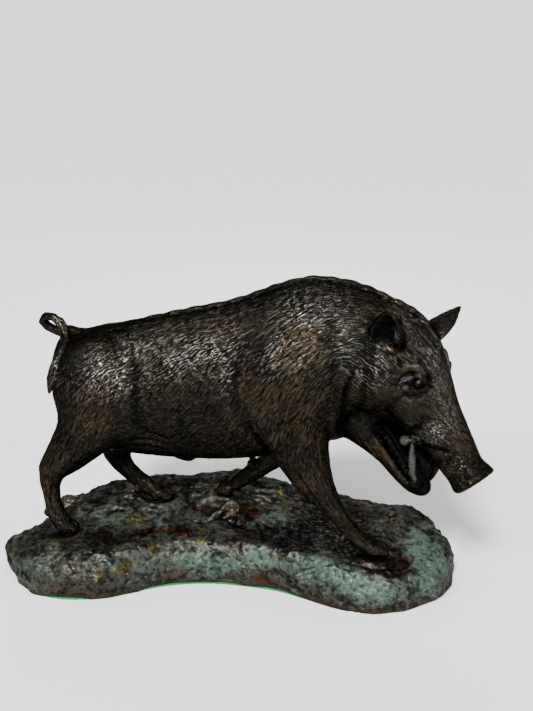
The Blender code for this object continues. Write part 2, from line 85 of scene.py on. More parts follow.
def setStudio():
    bm = bmesh.new()
    bmesh.ops.create_grid(bm, x_segments=1, y_segments=1, size=studio["floorReach"])
    floor = newPiece("studio_floor", bm)
    paper = bpy.data.materials.new("pale paper")
    paper.use_nodes = True
    shader = paper.node_tree.nodes["Principled BSDF"]
    shader.inputs["Base Color"].default_value = (*studio["floorColour"], 1.0)
    shader.inputs["Roughness"].default_value = 0.9
    floor.data.materials.append(paper)
    world = bpy.data.worlds.new("studio")
    world.use_nodes = True
    sky = world.node_tree.nodes["Background"]
    sky.inputs["Color"].default_value = (*studio["skyColour"], 1.0)
    sky.inputs["Strength"].default_value = studio["skyStrength"]
    bpy.context.scene.world = world
    data = bpy.data.lights.new("sun", "SUN")
    data.energy = studio["sunStrength"]
    data.angle = math.radians(studio["sunAngle"])
    sun = bpy.data.objects.new("sun", data)
    bpy.context.scene.collection.objects.link(sun)
    sun.rotation_euler = (-Vector(studio["sunFrom"])).to_track_quat("-Z", "Y").to_euler()
    for place, size, power, colour in studio["lights"]:
        data = bpy.data.lights.new("softbox", "AREA")
        data.size = size
        data.energy = power
        data.color = colour
        lamp = bpy.data.objects.new("softbox", data)
        bpy.context.scene.collection.objects.link(lamp)
        lamp.location = place
        lamp.rotation_euler = (Vector(studio["aim"]) - Vector(place)).to_track_quat("-Z", "Y").to_euler()


# Mesh helpers

def newPiece(name, bm):
    mesh = bpy.data.meshes.new(name)
    bm.to_mesh(mesh)
    bm.free()
    piece = bpy.data.objects.new(name, mesh)
    bpy.context.scene.collection.objects.link(piece)
    return piece


def nodeMesh(node):
    # A merged copy of a frame node's loose triangles
    bm = bmesh.new()
    bm.from_mesh(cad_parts[node].data)
    bmesh.ops.remove_doubles(bm, verts=bm.verts, dist=0.00001)
    return bm


def applied(piece, name):
    # The piece as its modifiers leave it
    bpy.context.view_layer.update()
    graph = bpy.context.evaluated_depsgraph_get()
    mesh = bpy.data.meshes.new_from_object(piece.evaluated_get(graph))
    mesh.name = name
    bpy.data.objects.remove(piece)
    finished = bpy.data.objects.new(name, mesh)
    bpy.context.scene.collection.objects.link(finished)
    return finished


def remeshed(piece, name, voxel, softening):
    remesh = piece.modifiers.new("skin", "REMESH")
    remesh.mode = "VOXEL"
    remesh.voxel_size = voxel
    soften = piece.modifiers.new("soften", "SMOOTH")
    soften.factor = 0.5
    soften.iterations = softening
    return applied(piece, name)


def triangleCount(mesh):
    return sum(len(face.vertices) - 2 for face in mesh.polygons)


def thinned(piece, name, triangles):
    count = triangleCount(piece.data)
    if count > triangles:
        thin = piece.modifiers.new("thin", "DECIMATE")
        thin.ratio = triangles / count
        piece = applied(piece, name)
    return piece


def readPlaces(mesh):
    flat = np.empty(len(mesh.vertices) * 3, dtype=np.float32)
    mesh.vertices.foreach_get("co", flat)
    return flat.reshape(-1, 3).astype(np.float64) * millimetres


def writePlaces(mesh, places):
    mesh.vertices.foreach_set("co", (places * mm).astype(np.float32).ravel())
    mesh.update()


def readNormals(mesh):
    flat = np.empty(len(mesh.vertices) * 3, dtype=np.float32)
    mesh.vertex_normals.foreach_get("vector", flat)
    return flat.reshape(-1, 3).astype(np.float64)


def readEdges(mesh):
    flat = np.empty(len(mesh.edges) * 2, dtype=np.int32)
    mesh.edges.foreach_get("vertices", flat)
    return flat.reshape(-1, 2)


def neighbourMean(values, edges):
    # Each vertex's value replaced by the mean of its neighbours'
    count = len(values)
    total = np.zeros_like(values)
    share = np.bincount(edges.ravel(), minlength=count).astype(np.float64)
    for column in range(values.shape[1]):
        total[:, column] = np.bincount(edges[:, 0], values[edges[:, 1], column], count)
        total[:, column] += np.bincount(edges[:, 1], values[edges[:, 0], column], count)
    return total / np.maximum(share, 1.0)[:, None]


def smoothStep(low, high, values):
    share = np.clip((values - low) / (high - low), 0.0, 1.0)
    return share * share * (3.0 - 2.0 * share)


def within(rise, fall, values):
    # 1 between two soft steps
    return smoothStep(*rise, values) * smoothStep(*fall, values)


def hollowness(mesh, rounds):
    # How deep each vertex lies below its surroundings, in millimetres
    places, normals, edges = readPlaces(mesh), readNormals(mesh), readEdges(mesh)
    mean = places
    for _ in range(rounds):
        mean = neighbourMean(mean, edges)
    return np.einsum("ij,ij->i", mean - places, normals)


# The side view's chart: where a place shows, in the view's pixels

chart = {"wide": 533.0, "high": 711.0}


def chartPlaces(places):
    away = places - np.array(view["place"]) * millimetres
    depth = away @ np.array(view["forward"])
    reach = view["lens"] / view["sensor"] * chart["high"]
    across = chart["wide"] / 2 + away @ np.array(view["right"]) / depth * reach
    down = chart["high"] / 2 - away @ np.array(view["up"]) / depth * reach
    return np.column_stack((across, down))


def facingView(places, normals):
    toward = np.array(view["place"]) * millimetres - places
    toward /= np.linalg.norm(toward, axis=1)[:, None]
    return smoothStep(0.02, 0.30, np.einsum("ij,ij->i", toward, normals))


def polylineDistance(places, points):
    # Distance to a polyline, the share of the way along it, and the side it is on
    best = np.full(len(places), 1e9)
    along = np.zeros(len(places))
    side = np.zeros(len(places))
    total = len(points) - 1
    for k in range(total):
        start, end = np.array(points[k], dtype=float), np.array(points[k + 1], dtype=float)
        step = end - start
        share = np.clip((places - start) @ step / (step @ step), 0, 1)
        offset = places - start - share[:, None] * step
        away = np.linalg.norm(offset, axis=1)
        closer = away < best
        best[closer] = away[closer]
        along[closer] = (k + share[closer]) / total
        if len(start) == 2:
            turn = step[0] * offset[:, 1] - step[1] * offset[:, 0]
            side[closer] = np.sign(turn[closer])
    return best, along, side


def lineRelief(places, lines):
    # Ridges and furrows along polylines on the chart, with tapered ends
    move = np.zeros(len(places))
    for points, width, height in lines:
        away, along, _ = polylineDistance(places, points)
        taper = smoothStep(0.0, 0.22, along) * smoothStep(1.0, 0.78, along) * 0.75 + 0.25
        move += height * taper * np.exp(-(away / width) ** 2)
    return move


def swellRelief(places, swells):
    # Soft swells and hollows on the chart: x, y, two reaches, turn in degrees, height
    move = np.zeros(len(places))
    for x, y, wide, high, turn, height in swells:
        angle = math.radians(turn)
        away = places - np.array((x, y), dtype=float)
        across = (away[:, 0] * math.cos(angle) + away[:, 1] * math.sin(angle)) / wide
        down = (away[:, 1] * math.cos(angle) - away[:, 0] * math.sin(angle)) / high
        move += height * np.exp(-(across ** 2 + down ** 2))
    return move


def roundAway(places, middle, reach):
    # How far out on an oval each place is, with 1 on its edge
    return np.hypot((places[:, 0] - middle[0]) / reach[0], (places[:, 1] - middle[1]) / reach[1])


def insideOf(places, corners):
    # Signed distance to a closed outline on the chart, above nought inside it
    ring = list(corners) + [corners[0]]
    away, _, _ = polylineDistance(places, ring)
    inside = np.zeros(len(places), dtype=bool)
    for (x0, y0), (x1, y1) in zip(ring[:-1], ring[1:]):
        if y0 == y1:
            continue
        crosses = (places[:, 1] > min(y0, y1)) & (places[:, 1] <= max(y0, y1))
        at = x0 + (places[:, 1] - y0) / (y1 - y0) * (x1 - x0)
        inside ^= crosses & (places[:, 0] < at)
    return np.where(inside, away, -away)


# The boar

boarLook = {
    "voxel": 0.00072,
    "softening": 4,
    "triangles": 197000,
    "seed": 7,
    # overlapping strokes of the coat, in millimetres
    "locks": {"count": 10000, "length": 11.0, "width": 1.8, "height": 0.34},
    "hairs": {"count": 40000, "length": 8.5, "width": 1.30, "height": 0.52},
    "coatSink": 0.36,
    "flowRounds": 260,
    # rounds of smoothing
    "facets": 4, "crease": 90, "flare": 50, "rim": 14, "jowl": 120,
    # spread of the narrow and the wide hollows that the finish darkens, partly as patina and partly as
    # painted shade
    "creviceRounds": 2, "foldRounds": 14,
}
# Where each part fades in or out, in millimetres: t runs along the snout, v up to the brow, w across
boarParts = {
    "face": (14, 46),
    "tusk": (9.5, 12.0),
    "mouth": 27,
    "throat": {"w": (14.5, 11.5), "t": (50, 58), "v": ((-60, -54), (-21, -25))},
    "crease": {"w": 28, "t": ((-16, -8), (40, 30)), "v": ((-62, -50), (10, 2))},
    "snout": {"t": (96, 122), "v": (-34, -26)},
    "flare": ((124, 129), (142, 139)),
    "rim": (138.5, 141),
    "disc": (142.0, 144.5),
    "ear": {"reach": (19, 15), "turn": (0.15, 0.5), "root": (2, 6)},
    "hoof": {"reach": (23, 18), "top": (13, 9), "toes": (6, 24)},
    "legs": (125, 100),
    "tail": (8.0, 5.8),
}
# The head's own axes, in the frame's millimetres: along the snout, towards the brow, to the far side
headRoot = np.array((150.0, -2.0, 236.0))
headT = np.array((78.0, -36.0, -108.0))
headT /= np.linalg.norm(headT)
headW = np.array((-headT[1], headT[0], 0.0))
headW /= np.linalg.norm(headW)
headV = np.cross(headT, headW)

# Folds of the head on the chart: points, half width, height in millimetres
headLines = [
    # lids, the creases beside them and the brow
    ([(398, 389), (403, 382.5), (409, 378.5), (416, 377), (423, 379), (429, 384.5)], 1.3, 1.5),
    ([(402, 389), (409, 391.5), (416, 392), (423, 390), (429, 385.5)], 1.2, 1),
    ([(395, 385), (402, 377.5), (410, 373.5), (420, 373), (431, 378)], 1.7, -1.6),
    ([(401, 393), (410, 397), (420, 396.5), (430, 390)], 1.9, -1.1),
    ([(399, 398), (411, 402.5), (426, 399)], 2.8, 0.6),
    ([(393, 377), (403, 369), (414, 365.5), (426, 366), (436, 372)], 3.6, 1.4),
    ([(428, 385), (434, 388)], 1.3, -1.1), ([(399, 389), (391, 393)], 1.1, -0.7),
    ([(398, 385), (390, 385)], 1.1, -0.6), ([(401, 381), (394, 378)], 1, -0.5),
    # the fold in front of the tusk, and the wing of the nostril
    ([(414, 441), (423, 446.5), (432, 449.5), (442, 451), (453, 454)], 3.2, -2.6),
    ([(441, 472), (446, 464), (452, 456)], 2.4, -1),
    ([(452, 446), (459, 450), (463, 458), (460, 466)], 2.6, 0.8),
    # lips
    ([(377, 420), (387, 426), (397, 432)], 2.2, 1),
    ([(411, 445), (419, 452), (428, 463), (437, 472)], 2, 1),
    ([(369, 430), (378, 443), (386, 455), (394, 468), (403, 481), (413, 490), (424, 494)], 3.4, 1.5),
    ([(361, 431), (371, 447), (379, 459), (387, 471), (396, 483), (406, 492)], 1.5, -0.9),
    ([(352, 428), (362, 443), (371, 456), (380, 467), (390, 479)], 1.3, -0.6),
    # the disc's rim, the neck behind it and wrinkles over the snout
    ([(482, 451), (489, 459), (492, 467), (487, 475), (476, 482), (466, 487), (456, 491),
     (447, 488)], 2.2, 1.1),
    ([(463, 481), (467, 481.5), (471, 480)], 1.3, 1.2), ([(463, 485), (467, 485.5), (471, 484)], 1.6, -2.2),
    ([(462, 430), (471, 435)], 1.3, -0.6), ([(464, 438), (473, 442)], 1.3, -0.6),
    ([(459, 422), (468, 426)], 1.2, -0.5), ([(455, 438), (462, 441), (468, 447)], 1.2, -0.5),
    ([(436, 458), (441, 463), (444, 470)], 1.2, -0.5),
    # cheek and temple
    ([(352, 402), (356, 415), (364, 424)], 4, -1.2), ([(380, 408), (392, 414), (402, 424)], 3.5, -0.8),
    ([(386, 352), (396, 358), (404, 368)], 3, -0.8), ([(408, 350), (420, 352), (432, 360)], 3, -0.6),
]
headSwells = [
    (415, 384, 15, 9, -5, -2.6), (431, 432, 14, 9, 25, 1.8), (460, 468, 12, 11, 0, 0.9),
    (390, 402, 20, 13, 30, 0.6), (384, 388, 10, 12, 0, 0.5),
]
eyeball = ((418.6, 384.3), (6.2, 5.4), 3.6)  # middle, half sizes and height
eyelids = ((415, 384), (17.0, 11.0))
jowl = ((413, 412), (16.0, 11.0))  # the soft skin under the eye
mouthOutline = [
    (374, 421), (387, 428.5), (399, 435.5), (411, 444), (421, 452), (430, 464), (437, 471), (434, 481),
    (430, 489), (420, 486.5), (409, 477), (400.5, 463), (392, 450), (383, 437),
]
tuskOutline = [
    (412, 442), (415, 444), (417, 452), (418.5, 466), (418, 482), (414.5, 482), (410.5, 473), (409, 462),
    (410, 449),
]
stubOutline = [(398, 436), (403, 433.5), (408, 436.5), (408.5, 442), (404, 446), (399, 443.5)]
gumLine = [(382, 432), (390, 443), (398, 456), (405, 469), (412, 478)]
# Rows of gum beside that line: distance, width, height and how much the teeth wave it
gumRows = [(1.0, 1.4, 1.4, 0.25), (5.5, 1.2, 0.8, 0.0), (3.3, 1.0, -0.8, 0.0)]
teeth = 9
toeCleft = {"depth": 2.0, "width": 1.4}

# Muscles and folds of the body on the chart
bodyLines = [
    ([(127, 350), (131, 370), (133, 393), (135, 416), (138, 438)], 7.5, -3.4),
    ([(140, 429), (152, 437), (168, 441)], 5, -1.8),
    ([(126, 441), (148, 440), (174, 446)], 1.5, -1), ([(128, 446), (150, 446.5), (170, 450)], 1.3, -0.8),
    ([(134, 436), (152, 434), (170, 440)], 1.3, -0.7),
    ([(240, 350), (233, 378), (235, 402), (245, 426), (256, 446)], 8, -3),
    ([(250, 436), (262, 446), (270, 456)], 4, -1.4),
    ([(337, 305), (331, 340), (331, 375), (338, 410)], 8, -1.8),
    ([(312, 400), (306, 425), (300, 450)], 6, 1.2),
    ([(90, 428), (75, 446), (60, 466)], 5, 1),
    ([(100, 452), (82, 462), (70, 480)], 4, -1),
    ([(295, 470), (315, 500), (335, 525)], 2.2, -0.9), ([(312, 462), (330, 492), (350, 525)], 2.2, 0.7),
    ([(52, 480), (50, 500), (58, 520)], 2, -0.7),
]
bodySwells = [
    (103, 385, 23, 34, 0, 2.6), (193, 380, 40, 40, 0, 1.8), (284, 362, 28, 46, 0, 2.2),
    (268, 361, 9, 13, 15, 1.3), (268, 440, 12, 12, 0, 1.4), (112, 344, 16, 10, 0, 1),
    (190, 420, 35, 14, 0, -1), (215, 345, 20, 12, -20, 0.9), (305, 320, 24, 18, 0, 0.9),
    (76, 326, 9, 5, 0, -2.6),
]
# Cuts between locks of hair on the chart: x, y and length
slashWidth, slashDepth = 0.9, -1.3
slashes = [
    (174, 366, 15), (186, 376, 14), (206, 372, 16), (214, 368, 14), (199, 388, 13), (226, 380, 12),
    (160, 362, 10), (150, 396, 12), (178, 408, 12), (206, 410, 11), (232, 402, 12), (246, 372, 11),
    (110, 402, 11), (96, 418, 11), (84, 398, 10), (290, 344, 11), (300, 372, 12), (280, 396, 12),
    (318, 356, 10), (322, 392, 11), (120, 374, 9), (140, 352, 9), (262, 392, 10), (296, 416, 11),
]

# Tone and painted light of the figure's finish on the chart, with painted highlights, warm tone, painted
# sheen, painted glints and painted shade: x, y, two reaches, turn in degrees, strength
toneAndPaintedLight = {
    # painted highlights: the spots where the hair tips are painted pale
    "paintedHighlight": [
        (113, 372, 20, 22, 0, 1.1), (92, 382, 18, 16, 0, 0.6), (185, 358, 46, 15, -24, 0.95),
        (227, 350, 18, 16, 0, 0.8), (226, 381, 14, 12, 0, 0.55), (270, 362, 9, 17, 10, 1.4),
        (318, 312, 32, 18, 0, 0.75), (350, 350, 16, 22, 0, 0.6), (372, 372, 15, 14, 0, 1),
        (431, 433, 15, 11, -20, 1.5), (408, 426, 4, 4, 0, 0.9), (460, 469, 7, 9, 0, 1.1),
        (467, 482, 5, 2.5, 0, 1.2), (405, 385, 8, 5, -15, 0.9), (446, 454, 4, 2, -25, 1),
        (56, 370, 6, 16, 0, 0.8), (150, 345, 40, 9, -10, 0.5), (62, 520, 8, 12, 0, 0.4),
        (300, 360, 14, 22, 0, 0.5), (446, 398, 9, 30, -15, 0.7), (437, 352, 14, 20, 0, 0.95),
        (400, 305, 16, 8, 30, 0.4),
    ],
    "warmth": [
        (96, 410, 26, 26, 0, 0.9), (298, 400, 24, 48, 0, 0.9), (150, 398, 22, 20, 0, 0.5),
        (470, 455, 14, 14, 0, 1), (426, 412, 16, 8, 0, 0.7), (62, 500, 12, 26, 0, 0.6),
        (262, 385, 14, 24, 0, 0.5), (388, 352, 14, 16, 0, 0.6), (325, 500, 22, 34, 0, 0.5),
        (180, 390, 24, 12, 0, 0.4),
    ],
    # painted sheen: lighter grey on the back, the neck, the forehead and the far ear
    "paintedSheen": [
        (432, 350, 18, 24, 20, 1.1), (446, 385, 9, 26, -15, 0.7), (462, 424, 7, 22, -25, 0.5),
        (448, 325, 15, 14, 0, 1), (210, 316, 60, 7, -14, 0.45), (352, 318, 30, 18, 20, 0.45),
        (62, 322, 16, 10, 0, 0.3), (340, 440, 16, 12, 40, 0.35),
    ],
    "glint": [
        (418.4, 382.4, 1.1, 0.9, 0, 1.1), (404.5, 387.2, 2, 0.8, -25, 0.6),
        (409.5, 379.2, 2.2, 0.8, -25, 0.45),
    ],
    # painted shade: darker spots on the belly, in the folds of the body, under the ear, round the eye and
    # beside the tusk
    "paintedShade": [
        (190, 438, 66, 15, 0, 0.8), (222, 402, 13, 17, 10, 0.8), (134, 420, 9, 34, 0, 0.8),
        (252, 438, 14, 22, 0, 0.7), (372, 346, 14, 14, 0, 0.7), (418, 383, 17, 10, -6, 1.2),
        (440, 450, 12, 7, 25, 0.9), (345, 425, 22, 14, 30, 0.6), (380, 408, 22, 12, 25, 0.5),
        (57, 372, 8, 20, 0, 0.9), (338, 385, 7, 40, 0, 0.6), (415, 437, 7, 4, 10, 1.5),
        (92, 330, 20, 6, -8, 0.5),
    ],
}

# How the fur lies: a place in millimetres and the way the hairs point there
furFlow = [
    # rump, flank and back, from the tail to the withers
    (-160, 0, 225, -0.75, 0, -0.65), (-160, -30, 190, -0.45, 0, -0.90), (-160, 30, 190, -0.45, 0, -0.90),
    (-140, -40, 225, -0.72, -0.2, -0.60), (-130, -48, 185, -0.65, 0, -0.75),
    (-135, -40, 150, -0.45, 0, -0.90), (-110, 0, 245, -0.98, 0, -0.18), (-90, -45, 220, -0.78, -0.1, -0.60),
    (-90, -50, 180, -0.70, 0, -0.70), (-90, -48, 145, -0.75, 0, -0.62), (-50, 0, 258, -0.98, 0, -0.18),
    (-40, -48, 230, -0.80, -0.1, -0.58), (-40, -53, 185, -0.70, 0, -0.70), (-40, -48, 145, -0.78, 0, -0.60),
    (-20, -20, 122, -0.99, 0, -0.05), (10, 0, 272, -0.97, 0, -0.25), (20, -45, 245, -0.80, -0.1, -0.58),
    (20, -56, 195, -0.64, 0, -0.76), (10, -50, 150, -0.70, 0, -0.70), (60, 0, 295, -0.98, 0, -0.15),
    (70, -35, 280, -0.82, -0.2, -0.52), (60, -52, 235, -0.60, 0, -0.80), (60, -56, 195, -0.40, 0, -0.92),
    (60, -52, 160, -0.10, 0, -0.99),
    # neck and chest
    (110, 0, 292, -0.97, 0, 0.20), (110, -40, 265, -0.75, -0.1, -0.62), (105, -52, 220, -0.50, 0, -0.86),
    (100, -45, 180, -0.25, 0, -0.97), (140, 0, 285, -0.88, 0, 0.45), (135, -38, 250, -0.85, 0, -0.40),
    (125, -45, 205, -0.70, 0, -0.70), (110, -20, 150, -0.75, 0, -0.45),
    # legs: near hind, near fore, far hind, far fore
    (-150, -35, 125, -0.60, 0, -0.80), (-166, -35, 100, -0.15, 0, -0.98), (-165, -35, 70, 0.10, 0, -0.99),
    (-125, -30, 125, -0.35, 0, -0.93), (80, -35, 130, 0.35, 0, -0.93), (98, -36, 98, 0.50, 0, -0.86),
    (122, -36, 66, 0.68, 0, -0.73), (-114, 35, 125, -0.20, 0, -0.98), (-115, 35, 95, 0.30, 0, -0.95),
    (-90, 35, 68, 0.80, 0, -0.60), (58, 35, 130, -0.20, 0, -0.98), (40, 35, 105, -0.75, 0, -0.66),
    (10, 35, 82, -0.80, 0, -0.60),
]
legTop = 140  # rules above this height hold on both sides of the trunk
furReach = 24.0  # how far each rule holds, in millimetres


def headPlace(t, v, w):
    return headRoot + headT * t + headV * v + headW * w


def inHead(places):
    away = places - headRoot
    return away @ headT, away @ headV, away @ headW


def faceShare(places):
    # 0 behind the eyes and 1 on the short-haired face
    return smoothStep(*boarParts["face"], inHead(places)[0]) * headZone(places, -20, 0)


def headZone(places, low, high):
    # 1 on the head and 0 on the trunk and the legs
    t, v, w = inHead(places)
    under = smoothStep(-106, -94, v - 0.3 * np.maximum(t, 0))
    return smoothStep(low, high, t + 0.15 * v) * under * ((np.abs(w) < 60) | (v > 0))


def furDirections(places, normals):
    rules = []
    for x, y, z, *way in furFlow:
        rules.append(((x, y, z), way))
        if y != 0 and abs(z) > legTop:
            rules.append(((x, -y, z), (way[0], -way[1], way[2])))
    _, v, w = inHead(places)
    blend = np.zeros_like(places)
    for place, way in rules:
        away = np.sum((places - np.array(place, dtype=float)) ** 2, axis=1)
        pull = np.exp(-away / (2 * furReach ** 2)) + 1e-9
        blend += pull[:, None] * (np.array(way) / np.linalg.norm(way))
    # on the head the hairs run back from the snout, and down over the cheek and the jaw
    onHead = headZone(places, -26, 4)
    blend /= np.linalg.norm(blend, axis=1)[:, None] + 1e-9
    droop = -0.20 - 0.35 * smoothStep(10, -60, v)
    outward = 0.35 * np.sign(w)
    headWay = -headT[None, :] + droop[:, None] * headV[None, :] + outward[:, None] * headW[None, :] * 0.4
    blend = blend * (1 - onHead[:, None]) + headWay * onHead[:, None]
    # along the tail from its root to its tip
    nearest = np.full(len(places), 8.5)
    for start, end in zip(tailLine[:-1], tailLine[1:]):
        away, _, _ = polylineDistance(places, [start, end])
        closer = away < nearest
        nearest[closer] = away[closer]
        blend[closer] = np.array(end) - np.array(start)
    blend -= np.einsum("ij,ij->i", blend, normals)[:, None] * normals
    length = np.linalg.norm(blend, axis=1)
    return blend / np.maximum(length, 1e-6)[:, None]


# Tusks as paths in the head's axes, with a radius at each point; the near one and its mirror
lowerTusk = [
    (120, -45, 16.5, 3.7), (115, -41, 19.5, 4.1), (108, -35, 22.5, 4.2), (100, -29.5, 24.5, 3.8),
    (94, -24.5, 25.2, 3), (89, -20, 25, 2.1), (86, -17.5, 24.5, 1.1),
]
upperTusk = [(81, -22.5, 18.5, 3.0), (80, -24.5, 21.8, 4.3), (78.5, -27, 23, 4.2)]
# Middle of each hoof's print and the height of its sole
hooves = {
    "hindNear": (-153, -35, 45), "foreNear": (143.5, -36, 45),
    "hindFar": (-76.5, 34, 53.5), "foreFar": (-8, 34, 63.5),
}
tailLine = [
    (-150, 2, 235), (-158, 4, 233), (-166, 4.5, 233), (-173.5, 3, 237.5), (-177, 0, 244),
    (-172.5, -3, 249.5), (-164, -6, 249.5), (-156, -9, 242.5), (-151.5, -14, 234), (-152.5, -22, 227),
    (-155, -29, 219), (-157.5, -34, 210), (-159.5, -37, 201), (-161, -37, 192),
]
# The tail's loop and its hairy end, with a radius at each point
tailLoop = [
    (-152, 3, 233, 3.2), (-158, 4, 232, 3), (-166.5, 4.5, 232, 3), (-174.5, 3, 236, 3),
    (-178.5, 0, 242.5, 3), (-175, -3, 248.5, 3.1), (-166.5, -5, 250, 3.2), (-157, -7, 247, 3.2),
    (-152, -10, 240.5, 3.3), (-150.5, -14, 232, 3.6),
]
tailTuft = [
    (-150.5, -14, 232, 3.6), (-151, -22, 225, 4.2), (-153.5, -29, 217.5, 4.8), (-156, -34.5, 208.5, 5.6),
    (-158.5, -37.5, 199.5, 5.2), (-160.5, -38.5, 190.5, 3), (-161.5, -39, 185, 1.2),
]
# Flesh that fills the groove between the cheek and the neck
cheekFill = [
    (-7, 1, 43.5, 4.5), (-2, -5, 44, 6.5), (4, -13, 43, 8), (11, -22, 42.5, 8.5), (18, -30, 42, 8.5),
    (25, -39, 40, 7.5), (32, -47, 37, 5.5),
]
# Thicker flesh round the near ear's rim
earRims = [
    [(-20.5, 45.5, -41, 2.3), (-14.5, 48.5, -38, 2.6), (-7, 46.8, -39, 2.7), (-0.6, 43, -41.5, 2.6),
     (3.5, 36, -43, 2.4)],
    [(-21, 41.5, -44, 2.3), (-14, 44, -41, 2.7), (-7, 42.3, -41, 2.7), (-1, 38.5, -42.5, 2.6),
     (2.5, 33, -42, 2.4)],
]
# Each ear's root and tip in the head's axes, and the way its cup opens
earShapes = [
    ((-1, 17, -30), (-22, 54, -52), (0.45, -0.30, -0.84)),
    ((11, 28, 22), (1, 47, 69), (0.80, -0.45, 0.10)),
]


def headChart(places, normals):
    # The head's places on the chart, its far half mirrored on to the near one
    t, v, w = inHead(places)
    near = -np.abs(w)
    mirrored = headRoot + t[:, None] * headT + v[:, None] * headV + near[:, None] * headW
    turned = normals - (2 * (normals @ headW) * (w > 0))[:, None] * headW
    return chartPlaces(mirrored), facingView(mirrored, turned)


def bodyChart(places, normals):
    # The body's places on the chart, its far half mirrored too
    flip = np.ones_like(places)
    flip[:, 1] = np.where(places[:, 1] > 0, -1.0, 1.0)
    return chartPlaces(places * flip), facingView(places * flip, normals * flip)


rodSides = 20


def rod(bm, points):
    # A closed round rod along a path, with its own radius at each point
    rings = []
    for k, (x, y, z, radius) in enumerate(points):
        before, after = points[max(k - 1, 0)], points[min(k + 1, len(points) - 1)]
        way = Vector((after[0] - before[0], after[1] - before[1], after[2] - before[2])).normalized()
        turn = way.to_track_quat("Z", "Y").to_matrix().to_4x4()
        place = Matrix.Translation(Vector((x, y, z)) * mm) @ turn
        ring = bmesh.ops.create_circle(bm, segments=rodSides, radius=radius * mm, matrix=place)
        rings.append(ring["verts"])
    for lower, upper in zip(rings[:-1], rings[1:]):
        shift = min(range(rodSides), key=lambda s: (lower[0].co - upper[s].co).length)
        for k in range(rodSides):
            a, b = lower[k], lower[(k + 1) % rodSides]
            c, d = upper[(k + 1 + shift) % rodSides], upper[(k + shift) % rodSides]
            bm.faces.new((a, b, c, d))
    bm.faces.new(list(reversed(rings[0])))
    bm.faces.new(rings[-1])
    bmesh.ops.recalc_face_normals(bm, faces=bm.faces)


def boarMasks(places, normals):
    # Where each kind of surface is, from 0 to 1 at every vertex
    t, v, w = inHead(places)
    spot, facing = headChart(places, normals)
    onHead = headZone(places, -20, 0)
    masks = {}
    tusk = np.zeros(len(places))
    for sign in (-1, 1):
        for line in (lowerTusk, upperTusk):
            for k in range(len(line) - 1):
                start, end = (headPlace(a, b, sign * c) for a, b, c, _ in line[k:k + 2])
                away, along, _ = polylineDistance(places, [start, end])
                radius = line[k][3] + (line[k + 1][3] - line[k][3]) * along
                tusk = np.maximum(tusk, smoothStep(1.3, 0.5, away - radius))
    tusk *= smoothStep(*boarParts["tusk"], np.abs(w))
    masks["tusk"] = tusk
    horn = np.maximum(insideOf(spot, tuskOutline), insideOf(spot, stubOutline))
    masks["horn"] = tusk * smoothStep(-0.9, 0.5, horn) * (0.4 + 0.6 * facing)
    inside = smoothStep(-0.6, 1.2, insideOf(spot, mouthOutline)) * facing * (np.abs(w) < boarParts["mouth"])
    throat, snout = boarParts["throat"], boarParts["snout"]
    deep = smoothStep(*throat["w"], np.abs(w)) * smoothStep(*throat["t"], t) * within(*throat["v"], v)
    masks["mouth"] = np.maximum(inside, deep) * onHead * (1 - masks["horn"])
    masks["disc"] = smoothStep(*boarParts["disc"], t) * onHead
    masks["snout"] = smoothStep(*snout["t"], t) * smoothStep(*snout["v"], v)
    masks["hoof"] = np.zeros(len(places))
    for x, y, sole in hooves.values():
        near = smoothStep(*boarParts["hoof"]["reach"], np.hypot(places[:, 0] - x, places[:, 1] - y))
        low = smoothStep(*boarParts["hoof"]["top"], places[:, 2] - sole)
        masks["hoof"] = np.maximum(masks["hoof"], near * low)
    away, _, _ = polylineDistance(places, tailLine[1:])
    masks["tail"] = smoothStep(*boarParts["tail"], away)
    masks["eye"] = smoothStep(1.05, 0.9, roundAway(spot, *eyeball[:2])) * facing * onHead
    masks["lids"] = smoothStep(1.1, 0.7, roundAway(spot, *eyelids)) * facing * onHead
    ear = boarParts["ear"]
    masks["earCup"] = np.zeros(len(places))
    for root, tip, opening in earShapes:
        start, end = headPlace(*root), headPlace(*tip)
        axis = (end - start) / np.linalg.norm(end - start)
        out = headT * opening[0] + headV * opening[1] + headW * opening[2]
        out -= axis * (out @ axis)
        out /= np.linalg.norm(out)
        away, _, _ = polylineDistance(places, [start, end])
        cup = smoothStep(*ear["reach"], away) * smoothStep(*ear["turn"], normals @ out)
        cup *= smoothStep(*ear["root"], (places - start) @ axis)
        masks["earCup"] = np.maximum(masks["earCup"], cup)
    return masks


def sculpt(places, normals, masks):
    # Muscles, folds, lids and lips, as moves along the normal in millimetres
    spot, facing = headChart(places, normals)
    onHead = headZone(places, -14, 4)
    move = lineRelief(spot, headLines) + swellRelief(spot, headSwells)
    middle, reach, height = eyeball
    move += height * np.sqrt(np.clip(1 - roundAway(spot, middle, reach) ** 2, 0, 1))
    skin = (1 - masks["tusk"]) * (1 - masks["mouth"])
    head = move * facing * onHead * skin
    # gums and teeth inside the mouth, in rows along the lower lip
    away, along, _ = polylineDistance(spot, gumLine)
    for middle, width, height, wave in gumRows:
        row = height * (1 - wave + wave * np.sin(along * 2 * np.pi * teeth))
        head += row * np.exp(-((away - middle) / width) ** 2) * masks["mouth"] * facing * onHead
    # the cleft between the toes
    for x, y, _ in hooves.values():
        behind, ahead = boarParts["hoof"]["toes"]
        front = smoothStep(x, x + behind, places[:, 0]) * (places[:, 0] < x + ahead)
        cleft = toeCleft["depth"] * np.exp(-((places[:, 1] - y) / toeCleft["width"]) ** 2)
        head -= cleft * front * masks["hoof"]
    spot, facing = bodyChart(places, normals)
    trunk = (1 - onHead) * (1 - masks["tail"]) * (1 - masks["hoof"])
    body = lineRelief(spot, bodyLines) + swellRelief(spot, bodySwells)
    cuts = []
    for x, y, length in slashes:
        lean = math.radians(118 + 10 * math.sin(x * 1.7 + y))
        right, down = math.cos(lean) * length / 2, math.sin(lean) * length / 2
        cuts.append(([(x - right, y - down), (x, y), (x + right, y + down)], slashWidth, slashDepth))
    body += lineRelief(spot, cuts)
    return head + body * facing * trunk


